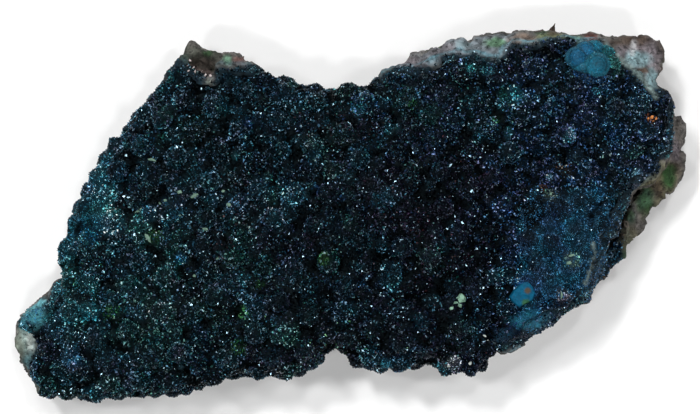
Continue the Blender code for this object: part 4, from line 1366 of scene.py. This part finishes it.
def fine_grained(name, shine, scale, tone, roughness, strength, distance):
    """The look of the smooth balls and the loose grains: one noise varies tone, roughness and relief."""
    made, tree, shader = material(name, IOR=1.5, Specular_IOR_Level=shine)
    fine = texture(tree, "ShaderNodeTexNoise", scale, Detail=3.0)
    tone, roughness = (ramp(tree, fine, 0.3, 0.7, *ends) for ends in (tone, roughness))
    dressed(tree, shader, tone, roughness, fine, strength, distance)
    return made


def grain(name, shine, roughness):
    return fine_grained(name, shine, 4500.0, (0.75, 1.25), roughness, 0.35, 0.06)


def wear(piece, look):
    piece.data.materials.append(look)
    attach(piece, "root")


def floor():
    made, _, _ = material("floor", Roughness=0.9, Base_Color=FLOOR_COLOUR)
    bpy.ops.mesh.primitive_plane_add(size=FLOOR_SIZE, location=(0, 0, cad_box[0].z - FLOOR_GAP))
    plane = bpy.context.object
    plane.name = "floor"
    plane.data.materials.append(made)


def light(name, direction, spread, radiance):
    """A round soft light, far off in the given direction. Seen from here its half angle is spread degrees."""
    radius = LIGHT_DISTANCE * math.tan(math.radians(spread))
    lamp = bpy.data.lights.new(name, "AREA")
    lamp.shape = "DISK"
    lamp.size = 2 * radius
    lamp.energy = radiance * math.pi * math.pi * radius**2
    towards = Vector(direction).normalized()
    placed = added(name, lamp)
    placed.location = towards * LIGHT_DISTANCE
    placed.rotation_euler = towards.to_track_quat("Z", "Y").to_euler()


def world():
    """A dark zenith, so that the crystals stay dark, and a pale horizon for the views from the side."""
    made = bpy.data.worlds.new("studio")
    bpy.context.scene.world = made
    made.use_nodes = True
    tree = made.node_tree
    place = node(tree, "ShaderNodeTexCoord").outputs["Generated"]
    rise = node(tree, "ShaderNodeSeparateXYZ", Vector=place).outputs["Z"]
    strength = ramp(tree, rise, 0.0, *SKY)
    give(tree, tree.nodes["Background"], Strength=strength, Color=(1, 1, 1, 1))


def camera():
    seen = bpy.data.cameras.new("camera")
    seen.lens = CAMERA_LENS
    seen.sensor_width = CAMERA_SENSOR
    placed = added("camera", seen)
    placed.location = CAMERA_PLACE
    bpy.context.scene.camera = placed


def build():
    rock_tree = tree_of_faces(cad_mesh("host_rock"))
    crust_tree = tree_of_faces(cad_mesh("cornetite_crust"))
    rock_look = host_rock()
    dull_look = grain("dull_grain_look", 0.1, (0.5, 0.8))

    crust, skin, ball_centres = fine_crust(rock_tree, crust_tree)
    rock, fringe, spare = fine_rock(crust_tree)
    spots = [crust_spots(crust, skin), fringe_spots(rock, fringe, ball_centres, crust_tree)]
    thinned(rock, spare, SPARE_ROCK)
    wear(rock, rock_look)
    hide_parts("host_rock")

    centres, normals, topness, ball, sizes = [np.concatenate(column) for column in zip(*spots)]
    looks = ball_looks(ball_centres)
    tints = crust_tints(centres, topness, ball, looks, rock_tree)
    paint(crust.data, bed_tints(points_of(crust.data), skin["topness"], skin["owner"], looks))
    thinned(crust, ~skin["shown"], SPARE_CRUST)
    wear(crust, cornetite("crystal_bed_look", 0.5, 0.8, 0.08))
    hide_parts("cornetite_crust")
    crystal_look = cornetite("crystal_look", 0.03, 0.14)
    shares = np.arange(1, len(DRUSE_NAMES)) / len(DRUSE_NAMES)
    part = np.digitize(centres[:, 0], np.quantile(centres[:, 0], shares))
    for number, name in enumerate(DRUSE_NAMES):
        mine = part == number
        piece = druse(name, centres[mine], normals[mine], sizes[mine], tints[mine])
        wear(piece, crystal_look)

    ball_look = fine_grained("chrysocolla_look", 0.25, 5200.0, (0.7, 1.3), (0.45, 0.75), 0.5, 0.08)
    nodule_trees = [tree_of_faces(cad_mesh("chrysocolla_nodules")), crust_tree]
    nodules, nodule_tints, coarseness = fine_nodules(nodule_trees)
    wear(nodules, ball_look)
    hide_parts("chrysocolla_nodules")
    fur = nodule_fur(nodules, nodule_tints, coarseness, crust)
    wear(fur, cornetite("nodule_crystal_look", 0.15, 0.4))

    sliver(rock_look)
    trees = [tree_of_faces(crust.data), tree_of_faces(rock.data)]
    stones("pale_flakes", FLAKES, trees, FLAKE_COLOUR, dull_look, 0.15)
    stones("pale_green_lump", PALE_LUMP, trees, LUMP_COLOUR, dull_look, 0.2)
    stones("orange_grain", ORANGE_GRAINS, trees, ORANGE, dull_look, 0.1)
    stones("white_grains", WHITE_GRAINS, trees, WHITE, dull_look, 0.3)
    stones("quartz_grains", QUARTZ, trees, QUARTZ_COLOUR, grain("glassy_grain_look", 0.25, (0.06, 0.25)), 0.3)
    chip(trees, dull_look)


build()
floor()
light("key", *KEY)
for number, (azimuth, elevation) in enumerate(LAMPS):
    turn, rise = math.radians(azimuth), math.radians(elevation)
    light(f"lamp_{number}", (math.cos(turn), math.sin(turn), math.tan(rise)), *LAMP)
light("softbox", *SOFTBOX)
light("fill", *FILL)
world()
camera()
bpy.context.scene.view_settings.view_transform = "Standard"
